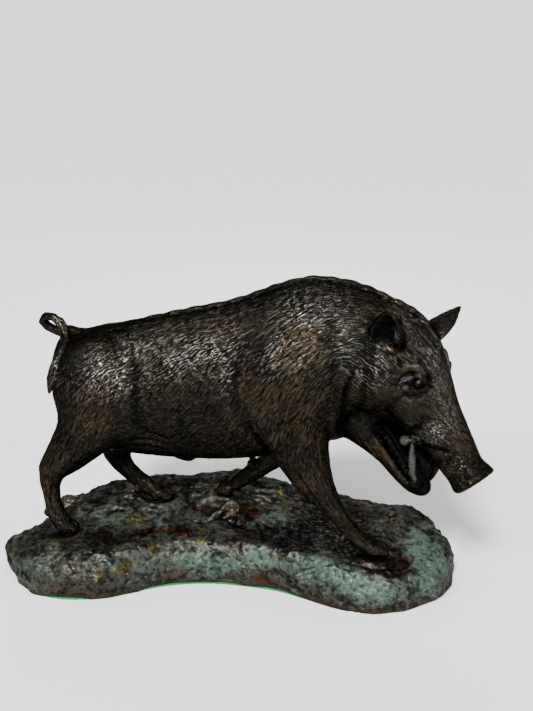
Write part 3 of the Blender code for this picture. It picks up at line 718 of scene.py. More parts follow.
def carveStrokes(places, normals, ways, depth, tree, rng, sizes):
    # Lays overlapping raised strokes on the skin and gives each vertex its height
    height = np.zeros(len(places))
    picks = rng.choice(len(places), sizes["count"], replace=False)
    side = np.cross(normals, ways)
    for pick in picks:
        strength = depth[pick]
        if strength < 0.05:
            continue
        length = sizes["length"] * rng.uniform(0.7, 1.3)
        width = sizes["width"] * rng.uniform(0.75, 1.25)
        bend = rng.uniform(-0.10, 0.10)
        found = tree.find_range(places[pick], length * 0.56)
        near = np.fromiter((item[1] for item in found), dtype=np.int64, count=len(found))
        away = places[near] - places[pick]
        along = away @ ways[pick] / length + 0.5
        across = (away @ side[pick]) / width - bend * (2 * along - 1) ** 2 * length / width * 0.5
        rise = np.clip(along, 0, 1) * 0.65 + 0.35
        taper = np.clip(along / 0.18, 0, 1) * np.clip((1 - along) / 0.16, 0, 1)
        body = np.clip(1 - np.abs(across / np.maximum(1 - 0.45 * np.clip(along, 0, 1), 0.2)) ** 1.8, 0, 1)
        lift = strength * rise * np.sqrt(taper) * body * rng.uniform(0.75, 1.1)
        height[near] = np.maximum(height[near], lift)
    return height


def flowField(places, edges, ways, rounds):
    # A number at each vertex that grows along the given ways, settled over the edges
    first, second = edges[:, 0], edges[:, 1]
    count = len(places)

    def gather(change):
        return np.bincount(second, change, count) - np.bincount(first, change, count)

    rise = np.einsum("ij,ij->i", places[second] - places[first], (ways[first] + ways[second]) / 2)
    weight = np.maximum(np.bincount(edges.ravel(), minlength=count), 1).astype(float)
    field = places @ np.mean(ways, axis=0)
    rest = gather(rise) - gather(field[second] - field[first])
    step = rest / weight
    size = rest @ step
    for _ in range(rounds):
        spread = gather(step[second] - step[first])
        share = size / max(step @ spread, 1e-12)
        field += share * step
        rest -= share * spread
        eased = rest / weight
        fresh = rest @ eased
        step = eased + step * (fresh / max(size, 1e-12))
        size = fresh
    return field - field.min()


def steepness(field, places, edges):
    # How fast a number changes over the surface round each vertex, as a mean over its edges
    first, second = edges[:, 0], edges[:, 1]
    length = np.linalg.norm(places[second] - places[first], axis=1)
    change = np.abs(field[second] - field[first]) / np.maximum(length, 1e-6)
    total = np.bincount(first, change, len(places)) + np.bincount(second, change, len(places))
    return total / np.maximum(np.bincount(edges.ravel(), minlength=len(places)), 1)


def relaxed(places, edges, share, rounds):
    # Draws vertices towards their neighbours' mean, each by its own share
    moving = np.flatnonzero((share[edges[:, 0]] > 0) | (share[edges[:, 1]] > 0))
    local, packed = np.unique(edges[moving], return_inverse=True)
    packed = packed.reshape(-1, 2)
    part, pull = places[local], share[local][:, None]
    for _ in range(rounds):
        part = part + (neighbourMean(part, packed) - part) * pull
    moved = places.copy()
    moved[local] = part
    return moved


def setNumber(mesh, name, values):
    layer = mesh.attributes.new(name, "FLOAT", "POINT")
    layer.data.foreach_set("value", values.astype(np.float32))


def makeBoar():
    bm = nodeMesh("boar")
    for sign in (-1, 1):
        for line in (lowerTusk, upperTusk):
            rod(bm, [(*headPlace(a, b, sign * c), radius) for a, b, c, radius in line])
    rod(bm, tailLoop)
    rod(bm, tailTuft)
    for line in earRims:
        rod(bm, [(*headPlace(a, b, c), radius) for a, b, c, radius in line])
    for sign in (-1, 1):
        rod(bm, [(*headPlace(a, b, sign * c), radius) for a, b, c, radius in cheekFill])
    piece = newPiece("boar_rough", bm)
    piece = remeshed(piece, "boar_skin", boarLook["voxel"], boarLook["softening"])
    mesh = piece.data
    places, normals = readPlaces(mesh), readNormals(mesh)
    print("boar skin:", len(places), "vertices")
    # the facets are rounded off, and the crease behind the cheek, the snout and the jowl are smoothed
    edges = readEdges(mesh)
    t, v, w = inHead(places)
    onHead = headZone(places, -20, 0)
    onCheek = headZone(places, -14, 4)
    masks = boarMasks(places, normals)
    skin = (1 - masks["tusk"]) * (1 - masks["mouth"])
    fold = boarParts["crease"]
    crease = within(*fold["t"], t) * within(*fold["v"], v) * (np.abs(w) > fold["w"])
    flare = within(*boarParts["flare"], t) * onHead
    rim = smoothStep(*boarParts["rim"], t) * onHead
    for share, rounds in ((0.35 * skin, "facets"), (crease, "crease"), (flare, "flare"), (0.6 * rim, "rim")):
        places = relaxed(places, edges, share, boarLook[rounds])
    spot, facing = headChart(places, normals)
    soft = np.exp(-roundAway(spot, *jowl) ** 2)
    soft = np.where(soft > 0.15, soft, 0.0) * facing * onCheek * (1 - masks["mouth"])
    places = relaxed(places, edges, soft, boarLook["jowl"])
    writePlaces(mesh, places)
    normals = readNormals(mesh)
    places = places + normals * sculpt(places, normals, masks)[:, None]
    writePlaces(mesh, places)
    normals = readNormals(mesh)
    ways = furDirections(places, normals)
    bare = np.maximum.reduce([
        masks["tusk"], masks["mouth"], masks["hoof"], masks["disc"], masks["eye"],
        0.75 * masks["lids"], 0.8 * masks["earCup"], 0.8 * masks["snout"],
    ])
    furry = 1 - bare
    face = faceShare(places)
    legs = smoothStep(*boarParts["legs"], places[:, 2]) * (1 - smoothStep(-20, 0, inHead(places)[0]))
    tree = KDTree(len(places))
    for k, place in enumerate(places):
        tree.insert(place, k)
    tree.balance()
    print("fur is being laid")
    rng = np.random.default_rng(boarLook["seed"])
    lockDepth = furry * (1 - 0.85 * face) * (1 - 0.6 * legs) * (1 - masks["tail"])
    hairDepth = furry * (1 - 0.5 * face) * (1 - 0.25 * legs)
    coat = -boarLook["coatSink"] * furry
    for depth, sizes in ((lockDepth, boarLook["locks"]), (hairDepth, boarLook["hairs"])):
        coat += sizes["height"] * carveStrokes(places, normals, ways, depth, tree, rng, sizes)
    writePlaces(mesh, places + normals * coat[:, None])
    piece = thinned(piece, "boar_cast", boarLook["triangles"])
    mesh = piece.data
    places, normals, edges = readPlaces(mesh), readNormals(mesh), readEdges(mesh)
    masks = boarMasks(places, normals)
    for name in ("horn", "mouth", "snout", "hoof", "eye", "earCup"):
        setNumber(mesh, name, masks[name])
    setNumber(mesh, "crevice", np.clip(0.5 + 1.6 * hollowness(mesh, boarLook["creviceRounds"]), 0, 1))
    setNumber(mesh, "fold", np.clip(0.5 + 0.30 * hollowness(mesh, boarLook["foldRounds"]), 0, 1))
    spot, facing = bodyChart(places, normals)
    for name, spots in toneAndPaintedLight.items():
        setNumber(mesh, name, np.clip(swellRelief(spot, spots), 0, 1.5) * (0.25 + 0.75 * facing))
    setNumber(mesh, "face", faceShare(places))
    ways = furDirections(places, normals)
    setNumber(mesh, "hairAlong", flowField(places, edges, ways, boarLook["flowRounds"]))
    # turned over on the far faces, because a number that grew all the way round a leg could not close
    sideways = np.cross(normals, ways) * -np.tanh(normals[:, 1] * 5.0)[:, None]
    across = flowField(places, edges, sideways, boarLook["flowRounds"])
    setNumber(mesh, "hairAcross", across)
    setNumber(mesh, "slack", smoothStep(0.42, 0.22, steepness(across, places, edges)))
    mesh.shade_smooth()
    print("boar:", triangleCount(mesh), "triangles")
    return piece


# The ground base

baseLook = {
    "voxel": 0.0011,
    "softening": 2,
    "triangles": 190000,
    "seed": 7,  # fixes how the edges of the colour patches wander
    "floor": (0.8, 4.0),  # the lowest millimetres keep their shape, for the felt
    "level": (15, 23),  # the ground stays level within these distances of a hoof
    "mud": {"height": 0.8, "ring": 18, "width": 4.0},  # pressed up round each hoof
    "overhang": 2.6,  # how far the lumps at the foot stand out over the felt
    "sag": 2.0,
    "creviceRounds": 5,
}
# Lumps and hollows of the ground on the chart: x, y, two reaches, turn in degrees, height
groundSwells = [
    (60, 541, 22, 4.5, -8, 2.4), (56, 533, 14, 4, -6, -1.6), (45, 513, 8, 6, 0, 2),
    (68, 497, 5, 5, 0, 3.4), (76, 505, 6, 5, 20, 2.6), (85, 500, 5, 4, 0, 1.6), (62, 506, 4, 4, 0, 1.5),
    (117, 570, 10, 8, 20, 2.2), (100, 588, 13, 11, 10, 2.4), (132, 583, 13, 10, 0, 2),
    (30, 570, 14, 16, 0, 1.4), (14, 560, 6, 9, 0, 1.2), (52, 560, 12, 8, 0, -0.8),
    (300, 534, 34, 9, -4, -2.4), (345, 552, 26, 8, 10, -2), (384, 566, 24, 6, 6, -2.6),
    (408, 556, 8, 8, 0, -1.2), (268, 548, 12, 5, 0, 1.4), (420, 545, 13, 12, 0, 1.6),
    (350, 590, 34, 12, 8, 1.2), (300, 578, 16, 8, -20, 1.4), (262, 585, 10, 9, 0, 0.7),
    (205, 560, 16, 10, 0, 1.4), (236, 522, 14, 4, 20, -1.8), (250, 517, 10, 3, 15, 1.2),
    (210, 505, 22, 4, 4, -1.4), (145, 534, 52, 5, -3, -1.6), (440, 555, 8, 14, 0, 1.2),
    (449, 578, 8, 8, 0, 1.4), (398, 503, 10, 6, 10, 1.6), (345, 520, 12, 5, 0, -0.9),
]
groundLines = [
    ([(290, 578), (302, 573), (318, 568)], 1.4, 1.2), ([(286, 582), (300, 580), (316, 578)], 1.2, -0.9),
    ([(40, 545), (56, 538), (78, 535)], 1.5, 1.3),
    ([(268, 552), (300, 549), (332, 556), (366, 567)], 1.6, -1),
    ([(222, 518), (238, 523), (246, 529)], 1.5, -1.6), ([(395, 570), (410, 566), (416, 553)], 1.8, -1.6),
    ([(445, 545), (452, 560), (455, 578)], 1.6, -1.2),
    ([(70, 596), (95, 594), (120, 588), (140, 590)], 1.6, -0.8),
]
# Loose stones at the back left, each a path with a radius at each point
rocks = [
    [(-181, 46, 31, 4), (-175, 49, 34, 6), (-168, 52, 36.5, 6.5), (-160, 55, 37, 5)],
    [(-168, 52, 34, 4), (-163, 52, 39, 6.5), (-159, 51, 38, 5), (-156, 50, 35, 3)],
    [(-171, 38, 32, 3), (-166, 39, 35, 5.5), (-161, 40, 36, 4), (-158, 41, 33, 2.5)],
    [(-187, 52, 30, 3), (-184, 54, 34, 5), (-179, 56, 34, 4.5), (-175, 57, 32, 2.5)],
    [(-170, 56, 32, 5), (-158, 62, 35, 8), (-146, 66, 37, 9), (-134, 70, 38, 7), (-124, 73, 37, 4)],
    # the bank that carries them
    [(-168, 46, 5, 7), (-170, 46, 16, 9), (-173, 46.5, 24, 9), (-178, 47, 30, 7), (-183, 50, 31.5, 4.5)],
    [(-160, 55, 5, 7), (-163, 55, 17, 9), (-168, 55, 25, 8), (-174, 55, 30, 6.5), (-180, 54.5, 32, 4.5)],
]
calmSpots = [(268, 576, 10, 9, 0, 0.85)]
# Lumps at the foot that stand out over the felt
skirt = [
    (25, 590, 22, 14, 0, 1.6), (104, 598, 18, 9, 0, 1.8), (132, 596, 18, 9, 0, 2.2),
    (372, 610, 70, 24, 0, 2), (450, 585, 25, 30, 0, 1.6),
]
# Patches of colour on the chart: x, y, two reaches, turn in degrees, strength
patches = {
    "verdigris": [
        (330, 572, 40, 15, 12, 1), (372, 592, 34, 12, 6, 0.8), (418, 546, 17, 19, 20, 1.15),
        (434, 573, 18, 22, 0, 1.1), (40, 560, 26, 12, -4, 0.45), (108, 520, 40, 9, -4, 0.35),
        (60, 577, 22, 8, 0, 0.4), (28, 580, 14, 14, 0, 0.4), (186, 562, 34, 13, 0, 0.65),
        (235, 566, 28, 12, 0, 0.8), (266, 555, 16, 12, 0, 0.7), (150, 518, 30, 7, 0, 0.5),
        (288, 518, 14, 7, 10, 0.75), (262, 520, 18, 6, 0, 0.6), (128, 566, 22, 12, 0, 0.45),
        (98, 560, 20, 9, 0, 0.45), (385, 522, 16, 8, 0, 0.4), (100, 512, 20, 6, 0, 0.3),
        (240, 480, 60, 7, 0, 0.3), (330, 488, 30, 8, 0, 0.3),
    ],
    "ochre": [
        (137, 521, 18, 4.5, -10, 1.1), (153, 547, 8, 6, 20, 1.1), (197, 546, 9, 6, 0, 1),
        (203, 530, 8, 4, 0, 0.8), (130, 566, 12, 7, 0, 0.8), (97, 578, 9, 5, 0, 0.9),
        (60, 541, 24, 5, -8, 0.7), (210, 487, 14, 4, -5, 0.8), (92, 508, 14, 5, 0, 0.7),
        (68, 500, 9, 7, 0, 0.9), (112, 515, 8, 4, 0, 0.6), (203, 540, 14, 8, 0, 0.5),
        (286, 497, 10, 4, 10, 0.8), (382, 516, 10, 5, 0, 0.5), (420, 556, 10, 9, 0, 0.45),
        (275, 552, 14, 4, 0, 0.6), (118, 569, 8, 7, 0, 0.9), (312, 560, 14, 4, 10, 0.5),
        (372, 572, 20, 3, 6, 0.6),
    ],
    "rust": [
        (103, 536, 15, 4, -4, 1.3), (146, 531, 18, 4, -3, 1.1), (183, 533, 16, 4, 0, 1.1),
        (168, 528, 12, 3.5, 0, 0.8), (202, 507, 12, 4, 0, 1.1), (228, 511, 14, 4, 4, 0.9),
        (250, 512, 14, 6, 10, 1.1), (236, 524, 12, 5, 25, 1.1), (232, 537, 9, 5, 0, 0.7),
        (302, 510, 7, 6, 0, 0.8), (380, 563, 30, 6, 8, 1.2), (404, 562, 7, 10, 20, 0.9),
        (180, 555, 6, 5, 0, 0.4), (264, 580, 10, 9, 0, 0.8), (168, 575, 16, 8, 0, 0.6),
        (360, 510, 22, 6, 8, 0.6), (75, 592, 34, 4, 0, 0.5), (375, 604, 22, 5, 0, 0.5),
        (442, 588, 10, 6, 0, 0.5), (245, 540, 10, 6, 0, 0.6), (126, 494, 10, 3, 0, 0.5),
        (158, 490, 10, 4, 0, 0.5), (384, 500, 16, 6, 0, 0.4),
    ],
    "umber": [
        (70, 574, 50, 20, -6, 1.1), (145, 533, 60, 8, -4, 0.6), (120, 592, 34, 10, 0, 0.9),
        (215, 577, 50, 6, 0, 0.9), (264, 580, 12, 10, 0, 1), (330, 604, 70, 7, 8, 0.9),
        (446, 584, 12, 12, 0, 0.8), (230, 506, 24, 10, 0, 1.3), (368, 565, 14, 6, 6, 1.4),
        (300, 562, 26, 5, 10, 0.5), (175, 505, 40, 8, 0, 0.4), (25, 545, 14, 14, 0, 0.6),
        (410, 510, 22, 8, 0, 0.6),
    ],
    "black": [
        (300, 532, 30, 13, -4, 1.2), (330, 524, 16, 9, 0, 0.8), (350, 550, 30, 8, 10, 1.2),
        (268, 540, 12, 8, -20, 0.9), (392, 570, 22, 5, 4, 1), (374, 545, 12, 12, 30, 0.9),
        (56, 532, 16, 4, -6, 0.7), (232, 521, 12, 3, 25, 0.8), (220, 512, 30, 5, 0, 0.35),
        (360, 525, 16, 14, 0, 0.6), (100, 538, 10, 4, 0, 0.4),
    ],
}


def groundMove(place, keep):
    # Earth, stones and wavy ledges, as a move along the normal in millimetres
    here = Vector(place)
    broad = noise.fractal(here / 26.0, 0.9, 2.1, 4) * 2.0
    stones = noise.ridged_multi_fractal(here / 13.0, 1.0, 2.1, 3, 0.9, 2.0)
    pits = noise.fractal(here / 4.2, 0.8, 2.0, 2)
    back = min(1.0, max(0.0, (here.y - 12.0) / 30.0))
    warp = 5.0 * noise.noise(here / 27.0) + 2.2 * noise.noise(here / 9.0)
    drawn = Vector((here.x / 40.0, (here.y + warp) / 10.0, here.z / 9.0))
    ledge = noise.ridged_multi_fractal(drawn, 0.8, 2.1, 3, 0.9, 2.0)
    return (broad + (stones - 1.0) * 1.4 * (1 - 0.6 * back) + pits * 0.45 + (ledge - 0.9) * 2.4 * back) * keep


def wander(place):
    # How far a patch's edge is drawn aside at a place
    here = Vector(place)
    return noise.noise_vector(here / 15.0) * 9.0 + noise.noise_vector(here / 5.5) * 4.0


def makeBase():
    bm = nodeMesh("base")
    for stone in rocks:
        rod(bm, stone)
    piece = newPiece("base_rough", bm)
    piece = remeshed(piece, "base_skin", baseLook["voxel"], baseLook["softening"])
    mesh = piece.data
    places, normals = readPlaces(mesh), readNormals(mesh)
    print("base skin:", len(places), "vertices")
    low, high = baseLook["floor"]
    floor = places[:, 2].min()
    keep = smoothStep(floor + low, floor + high, places[:, 2])
    level = np.ones(len(places))
    mud = np.zeros(len(places))
    pressed = baseLook["mud"]
    for x, y, _ in hooves.values():
        level *= smoothStep(*baseLook["level"], np.hypot(places[:, 0] - x, places[:, 1] - y))
        away = np.hypot(places[:, 0] - x, (places[:, 1] - y) * 1.15)
        mud = np.maximum(mud, pressed["height"] * np.exp(-((away - pressed["ring"]) / pressed["width"]) ** 2))
    spot, facing = chartPlaces(places), facingView(places, normals)
    form = swellRelief(spot, groundSwells) + lineRelief(spot, groundLines)
    form = form * facing * keep * level + mud * keep
    # lumps at the foot hang over the felt
    hang = np.clip(swellRelief(spot, skirt), 0, 1) * smoothStep(10, 3, places[:, 2])
    hang *= smoothStep(0.35, 0.75, np.hypot(normals[:, 0], normals[:, 1]))
    calm = np.clip(swellRelief(spot, calmSpots), 0, 1)
    places = places + normals * form[:, None] + normals * (1, 1, 0) * (baseLook["overhang"] * hang)[:, None]
    places = places - (0, 0, 1) * (baseLook["sag"] * hang)[:, None]
    rough = keep * (0.25 + 0.75 * level) * (1 - calm)
    move = np.array([groundMove(place, share) for place, share in zip(places, rough)])
    move = np.where(level < 0.6, np.minimum(move, 0.0), move)
    places = places + normals * move[:, None]
    writePlaces(mesh, places)
    piece = thinned(piece, "base_cast", baseLook["triangles"])
    mesh = piece.data
    places = readPlaces(mesh)
    noise.seed_set(baseLook["seed"])
    spot = chartPlaces(places) + np.array([wander(place) for place in places])[:, :2]
    for name, spots in patches.items():
        setNumber(mesh, name, np.clip(swellRelief(spot, spots), 0, 1.5))
    setNumber(mesh, "height", smoothStep(1.5, 9.0, places[:, 2]))
    setNumber(mesh, "crevice", np.clip(0.5 + 0.8 * hollowness(mesh, baseLook["creviceRounds"]), 0, 1))
    mesh.shade_smooth()
    print("base:", triangleCount(mesh), "triangles")
    return piece


# Finishes

def newMaterial(name):
    material = bpy.data.materials.new(name)
    material.use_nodes = True
    tree = material.node_tree
    return material, tree, tree.nodes["Principled BSDF"]


def wire(tree, kind, inputs=None, **settings):
    # A new node, its settings, and its sockets joined or filled
    made = tree.nodes.new(kind)
    for key, value in settings.items():
        setattr(made, key, value)
    for key, value in (inputs or {}).items():
        socket = made.inputs[key]
        if isinstance(value, bpy.types.NodeSocket):
            tree.links.new(value, socket)
        else:
            socket.default_value = value
    return made


def number(tree, name):
    return wire(tree, "ShaderNodeAttribute", attribute_name=name).outputs["Fac"]


def maths(tree, operation, first, second=0.5, clamp=False):
    sockets = {0: first, 1: second}
    return wire(tree, "ShaderNodeMath", sockets, operation=operation, use_clamp=clamp).outputs[0]


def times(tree, first, second, clamp=False):
    return maths(tree, "MULTIPLY", first, second, clamp)


def plus(tree, first, second):
    return maths(tree, "ADD", first, second)


def minus(tree, first, second):
    return maths(tree, "SUBTRACT", first, second)


def largest(tree, first, *others):
    for other in others:
        first = maths(tree, "MAXIMUM", first, other)
    return first


def band(tree, value, low, high, bottom=0.0, top=1.0, way="SMOOTHSTEP"):
    # The value stretched from low and high to bottom and top, and held between them
    sockets = {"Value": value, "From Min": low, "From Max": high, "To Min": bottom, "To Max": top}
    return wire(tree, "ShaderNodeMapRange", sockets, interpolation_type=way).outputs["Result"]


def mixed(tree, share, first, second):
    # Two colours, each a socket or a fixed one
    made = wire(tree, "ShaderNodeMix", {0: share}, data_type="RGBA")
    for index, value in ((6, first), (7, second)):
        if isinstance(value, bpy.types.NodeSocket):
            tree.links.new(value, made.inputs[index])
        else:
            made.inputs[index].default_value = (*value, 1.0)
    return made.outputs[2]


def graded(tree, share, first, second):
    # Two numbers
    return wire(tree, "ShaderNodeMix", {0: share, 2: first, 3: second}, data_type="FLOAT").outputs[0]


def speckle(tree, vector, scale, detail=3.0, roughness=0.55):
    sockets = {"Vector": vector, "Scale": scale, "Detail": detail, "Roughness": roughness}
    return wire(tree, "ShaderNodeTexNoise", sockets).outputs["Fac"]


def objectPlace(tree):
    return wire(tree, "ShaderNodeTexCoord").outputs["Object"]


def bumps(tree, shader, layers):
    # Bumps laid one over the other: height, strength and depth in metres
    normal = None
    for height, strength, depth in layers:
        sockets = {"Strength": strength, "Distance": depth, "Height": height}
        if normal is not None:
            sockets["Normal"] = normal
        normal = wire(tree, "ShaderNodeBump", sockets).outputs[0]
    tree.links.new(normal, shader.inputs["Normal"])


# Rows of hairs in the coat's finish: length and width in millimetres, place in the noise, share
hairRows = [(9.0, 1.9, 0.0, 0.45), (6.5, 1.25, 37.0, 0.35), (5.0, 0.8, 71.0, 0.20)]


def hairGroup():
    # Hair lines from the two lengths that run along and across the coat
    group = bpy.data.node_groups.new("hair relief", "ShaderNodeTree")
    for name in ("Along", "Across"):
        group.interface.new_socket(name, in_out="INPUT", socket_type="NodeSocketFloat")
    for name in ("Height", "Tips"):
        group.interface.new_socket(name, in_out="OUTPUT", socket_type="NodeSocketFloat")
    entry = group.nodes.new("NodeGroupInput")
    leave = group.nodes.new("NodeGroupOutput")
    total = 0.0
    for length, width, offset, share in hairRows:
        along = maths(group, "DIVIDE", entry.outputs["Along"], length)
        across = maths(group, "DIVIDE", entry.outputs["Across"], width)
        place = wire(group, "ShaderNodeCombineXYZ", {"X": along, "Y": across, "Z": offset}).outputs[0]
        sockets = {"Vector": place, "Scale": 1.0, "Detail": 0.5, "Distortion": 0.10}
        waves = wire(group, "ShaderNodeTexNoise", sockets).outputs["Fac"]
        away = maths(group, "ABSOLUTE", minus(group, waves, 0.5))
        total = plus(group, total, times(group, band(group, away, 0.16, 0.0), share))
    group.links.new(total, leave.inputs["Height"])
    group.links.new(band(group, total, 0.52, 0.92), leave.inputs["Tips"])
    return group


bronze = {
    "brown": ((0.0112, 0.0100, 0.0070), (0.0280, 0.0185, 0.0092)),
    "paintedSheen": (0.055, 0.051, 0.043),
    # near black of the crevices, partly patina and partly painted shade
    "deep": ((0.0024, 0.0022, 0.0018), (0.0036, 0.0042, 0.0036)),
    # painted shade in the wide hollows
    "fold": (0.0025, 0.0025, 0.0024),
    "paintedShade": (0.0034, 0.0036, 0.0033),
    "snout": (0.0062, 0.0046, 0.0032),
    "paintedSparkle": (0.21, 0.204, 0.188),
    # the mouth's inside, painted near black as its shade, a little lighter on the gum ridges
    "gumAndMouthShade": ((0.0052, 0.0050, 0.0044), (0.0010, 0.0010, 0.0010)),
    "hoof": ((0.006, 0.0055, 0.0045), (0.030, 0.024, 0.017)),
    "eye": (0.004, 0.0038, 0.0035),
    "glint": (0.30, 0.30, 0.29),
    "horn": ((0.022, 0.024, 0.022), (0.058, 0.061, 0.057)),
    "rim": (0.30, 0.28, 0.25, 1.0),
    "hairDepth": 0.00045,
    "grainDepth": 0.00014,
}


def darkBronze():
    material, tree, shader = newMaterial("dark bronze")
    place = objectPlace(tree)
    hair = wire(tree, "ShaderNodeGroup")
    hair.node_tree = hairGroup()
    tree.links.new(number(tree, "hairAlong"), hair.inputs["Along"])
    tree.links.new(number(tree, "hairAcross"), hair.inputs["Across"])
    crevice, fold = number(tree, "crevice"), number(tree, "fold")
    horny, mouth, hoof, snout = (number(tree, name) for name in ("horn", "mouth", "hoof", "snout"))
    face, eye, cup, slack = (number(tree, name) for name in ("face", "eye", "earCup", "slack"))
    paintedHighlight, warmth, paintedShade, paintedSheen = (number(tree, name) for name in ("paintedHighlight", "warmth", "paintedShade", "paintedSheen"))
    # bare parts take grain in place of hair
    grain = band(tree, speckle(tree, place, 640.0, 2.0, 0.6), 0.34, 0.66)
    points = band(tree, speckle(tree, place, 520.0, 1.0, 0.5), 0.56, 0.66)
    bare = largest(tree, horny, hoof, snout, times(tree, face, 0.6), eye, times(tree, slack, 0.8))
    texture = graded(tree, bare, hair.outputs["Height"], grain)
    tips = graded(tree, bare, hair.outputs["Tips"], points)
    # brown on what stands proud, near black in what lies deep: the dark is partly patina and partly painted
    # shade in the crevices, between the hairs and in the wide hollows
    proud = plus(tree, times(tree, crevice, -0.8), times(tree, texture, 0.9))
    proud = plus(tree, proud, times(tree, fold, -0.5))
    proud = band(tree, proud, -0.65, 0.30, way="LINEAR")
    tone = plus(tree, speckle(tree, place, 26.0, 3.0, 0.6), times(tree, warmth, 0.18))
    hue = mixed(tree, band(tree, tone, 0.42, 0.72), *bronze["brown"])
    # painted sheen: lighter grey where those spots lie
    hue = mixed(tree, times(tree, paintedSheen, 0.8, clamp=True), hue, bronze["paintedSheen"])
    hollowPatinaAndShade = mixed(tree, band(tree, speckle(tree, place, 17.0, 2.0), 0.42, 0.60), *bronze["deep"])
    colour = mixed(tree, proud, hollowPatinaAndShade, hue)
    # painted shade darkens the wide hollows, less on the snout
    paintedFoldShade = times(tree, band(tree, fold, 0.62, 0.95), minus(tree, 1.0, times(tree, snout, 0.7)))
    colour = mixed(tree, paintedFoldShade, colour, bronze["fold"])
    # painted shade on the spots listed for it and in the ear cups
    paintedShadeShare = maths(tree, "MAXIMUM", times(tree, paintedShade, 0.55), times(tree, cup, 0.8), clamp=True)
    colour = mixed(tree, paintedShadeShare, colour, bronze["paintedShade"])
    colour = mixed(tree, times(tree, snout, 0.4), colour, bronze["snout"])
    # painted sparkle highlights: hair tips and granules are painted pale metal, most in the highlight spots
    # and kept out of the crevices
    paintedSparkleShare = times(tree, plus(tree, 0.09, times(tree, paintedHighlight, 0.64)), tips)
    paintedSparkleShare = times(tree, paintedSparkleShare, band(tree, crevice, 0.72, 0.50), clamp=True)
    colour = mixed(tree, paintedSparkleShare, colour, bronze["paintedSparkle"])
    # painted shade fills the mouth: the gums and the throat are near black
    gumAndMouthShade = mixed(tree, band(tree, crevice, 0.40, 0.56), *bronze["gumAndMouthShade"])
    colour = mixed(tree, mouth, colour, gumAndMouthShade)
    colour = mixed(tree, times(tree, hoof, 0.7), colour, mixed(tree, grain, *bronze["hoof"]))
    colour = mixed(tree, eye, colour, bronze["eye"])
    colour = mixed(tree, number(tree, "glint"), colour, bronze["glint"])
    colour = mixed(tree, times(tree, horny, 0.92), colour, mixed(tree, grain, *bronze["horn"]))
    tree.links.new(colour, shader.inputs["Base Color"])
    tree.links.new(minus(tree, 0.96, times(tree, horny, 0.55)), shader.inputs["Metallic"])
    worn = band(tree, speckle(tree, place, 55.0, 3.0), 0.35, 0.65, 0.20, 0.34)
    tree.links.new(graded(tree, eye, worn, 0.10), shader.inputs["Roughness"])
    shader.inputs["Specular Tint"].default_value = bronze["rim"]
    bumps(tree, shader, [(texture, 1.0, bronze["hairDepth"]), (grain, 0.6, bronze["grainDepth"])])
    return material


ground = {
    "stone": ((0.014, 0.0145, 0.0130), (0.064, 0.065, 0.056)),
    "blotch": (0.040, 0.033, 0.024),
    "verdigris": ((0.038, 0.064, 0.050), (0.074, 0.120, 0.092)),
    "umber": ((0.013, 0.0115, 0.0088), (0.042, 0.038, 0.030)),
    "ochre": ((0.045, 0.034, 0.008), (0.105, 0.080, 0.024)),
    "rust": ((0.015, 0.0060, 0.0033), (0.047, 0.0195, 0.0088)),
    "black": ((0.0055, 0.0053, 0.0052), (0.028, 0.0275, 0.027)),
    "wax": (0.0055, 0.0048, 0.0038),
    "paintedSparkle": (0.18, 0.184, 0.176),
    "foot": (0.022, 0.014, 0.009),
    "rim": (0.35, 0.35, 0.33, 1.0),
    "specular": 0.25,
    "lumpDepth": 0.0014,
    "grainDepth": 0.0005,
}


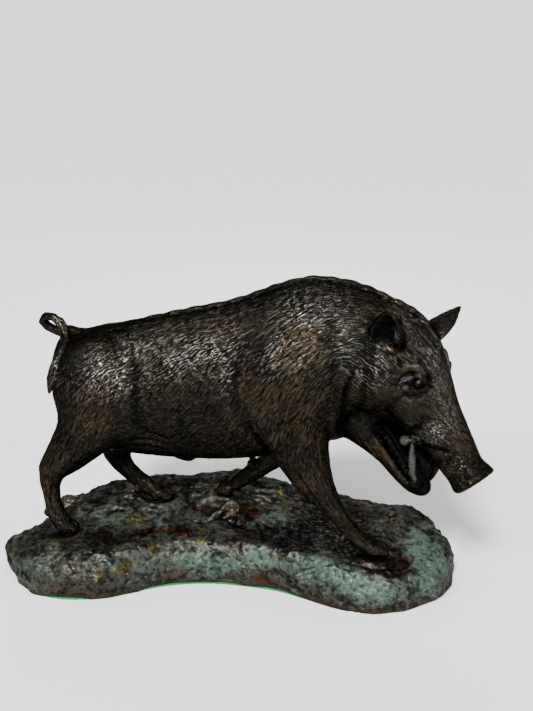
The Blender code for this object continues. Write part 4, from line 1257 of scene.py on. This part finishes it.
def patinatedBronze():
    material, tree, shader = newMaterial("patinated bronze")
    place = objectPlace(tree)
    crevice = number(tree, "crevice")
    mottle = speckle(tree, place, 75.0, 5.0, 0.65)
    fleck = speckle(tree, place, 420.0, 3.0, 0.6)
    blotch = speckle(tree, place, 32.0, 4.0, 0.6)
    colour = mixed(tree, band(tree, mottle, 0.36, 0.64), *ground["stone"])
    colour = mixed(tree, band(tree, blotch, 0.50, 0.66), colour, ground["blotch"])
    # each patch: name, the band of its ragged edge, strength, the pattern inside it and that one's band
    shares = {}
    for name, low, high, strength, pattern, start, end in (
        ("verdigris", 0.05, 1.0, 0.80, fleck, 0.30, 0.70), ("umber", 0.20, 1.1, 0.75, fleck, 0.35, 0.65),
        ("ochre", 0.28, 1.05, 0.75, fleck, 0.35, 0.65), ("rust", 0.18, 0.95, 0.92, mottle, 0.4, 0.6),
        ("black", 0.12, 0.55, 0.90, fleck, 0.4, 0.6),
    ):
        edge = plus(tree, number(tree, name), times(tree, minus(tree, mottle, 0.5), 1.9))
        edge = plus(tree, edge, times(tree, minus(tree, fleck, 0.5), 0.3))
        shares[name] = band(tree, edge, low, high)
        inner = mixed(tree, band(tree, pattern, start, end), *ground[name])
        colour = mixed(tree, times(tree, shares[name], strength), colour, inner)
    # recesses hold dark wax, edges get pale painted sparkle highlights, the foot is brown
    colour = mixed(tree, times(tree, band(tree, crevice, 0.52, 0.74), 0.70), colour, ground["wax"])
    shiny = largest(tree, shares["rust"], shares["black"])
    # painted sparkle highlights on the proud edges, kept off the umber and the glossy patches
    pale = times(tree, band(tree, crevice, 0.42, 0.24), band(tree, fleck, 0.50, 0.64))
    pale = times(tree, pale, minus(tree, 1.0, largest(tree, shares["umber"], shiny)))
    colour = mixed(tree, times(tree, pale, 0.42), colour, ground["paintedSparkle"])
    foot = minus(tree, 1.0, number(tree, "height"))
    colour = mixed(tree, times(tree, foot, 0.7), colour, ground["foot"])
    tree.links.new(colour, shader.inputs["Base Color"])
    tree.links.new(graded(tree, shares["verdigris"], 0.92, 0.35), shader.inputs["Metallic"])
    dull = band(tree, mottle, 0.35, 0.65, 0.34, 0.62)
    tree.links.new(graded(tree, shiny, dull, 0.30), shader.inputs["Roughness"])
    shader.inputs["Specular Tint"].default_value = ground["rim"]
    shader.inputs["Specular IOR Level"].default_value = ground["specular"]
    lumps = speckle(tree, place, 150.0, 4.0, 0.55)
    bumps(tree, shader, [(lumps, 0.9, ground["lumpDepth"]), (fleck, 0.4, ground["grainDepth"])])
    return material


feltLook = {
    "green": ((0.003, 0.085, 0.021), (0.009, 0.185, 0.048)),
    "cloud": (0.01, 0.16, 0.06),
    "roughness": 0.95,
    "nap": 0.0005,
}


def greenFelt():
    material, tree, shader = newMaterial("green felt")
    place = objectPlace(tree)
    fibre = speckle(tree, place, 900.0, 5.0, 0.7)
    colour = mixed(tree, band(tree, fibre, 0.3, 0.7), *feltLook["green"])
    cloud = band(tree, speckle(tree, place, 90.0, 3.0), 0.45, 0.75, 0.0, 0.35)
    tree.links.new(mixed(tree, cloud, colour, feltLook["cloud"]), shader.inputs["Base Color"])
    shader.inputs["Roughness"].default_value = feltLook["roughness"]
    bumps(tree, shader, [(fibre, 0.6, feltLook["nap"])])
    return material


setCamera()
setStudio()
print("camera and studio are set")

boar = makeBoar()
boar.data.materials.append(darkBronze())
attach(boar, "root")
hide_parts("boar")

base = makeBase()
base.data.materials.append(patinatedBronze())
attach(base, "root")
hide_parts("base")

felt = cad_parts["felt_pad"]
felt.data.materials.clear()
felt.data.materials.append(greenFelt())
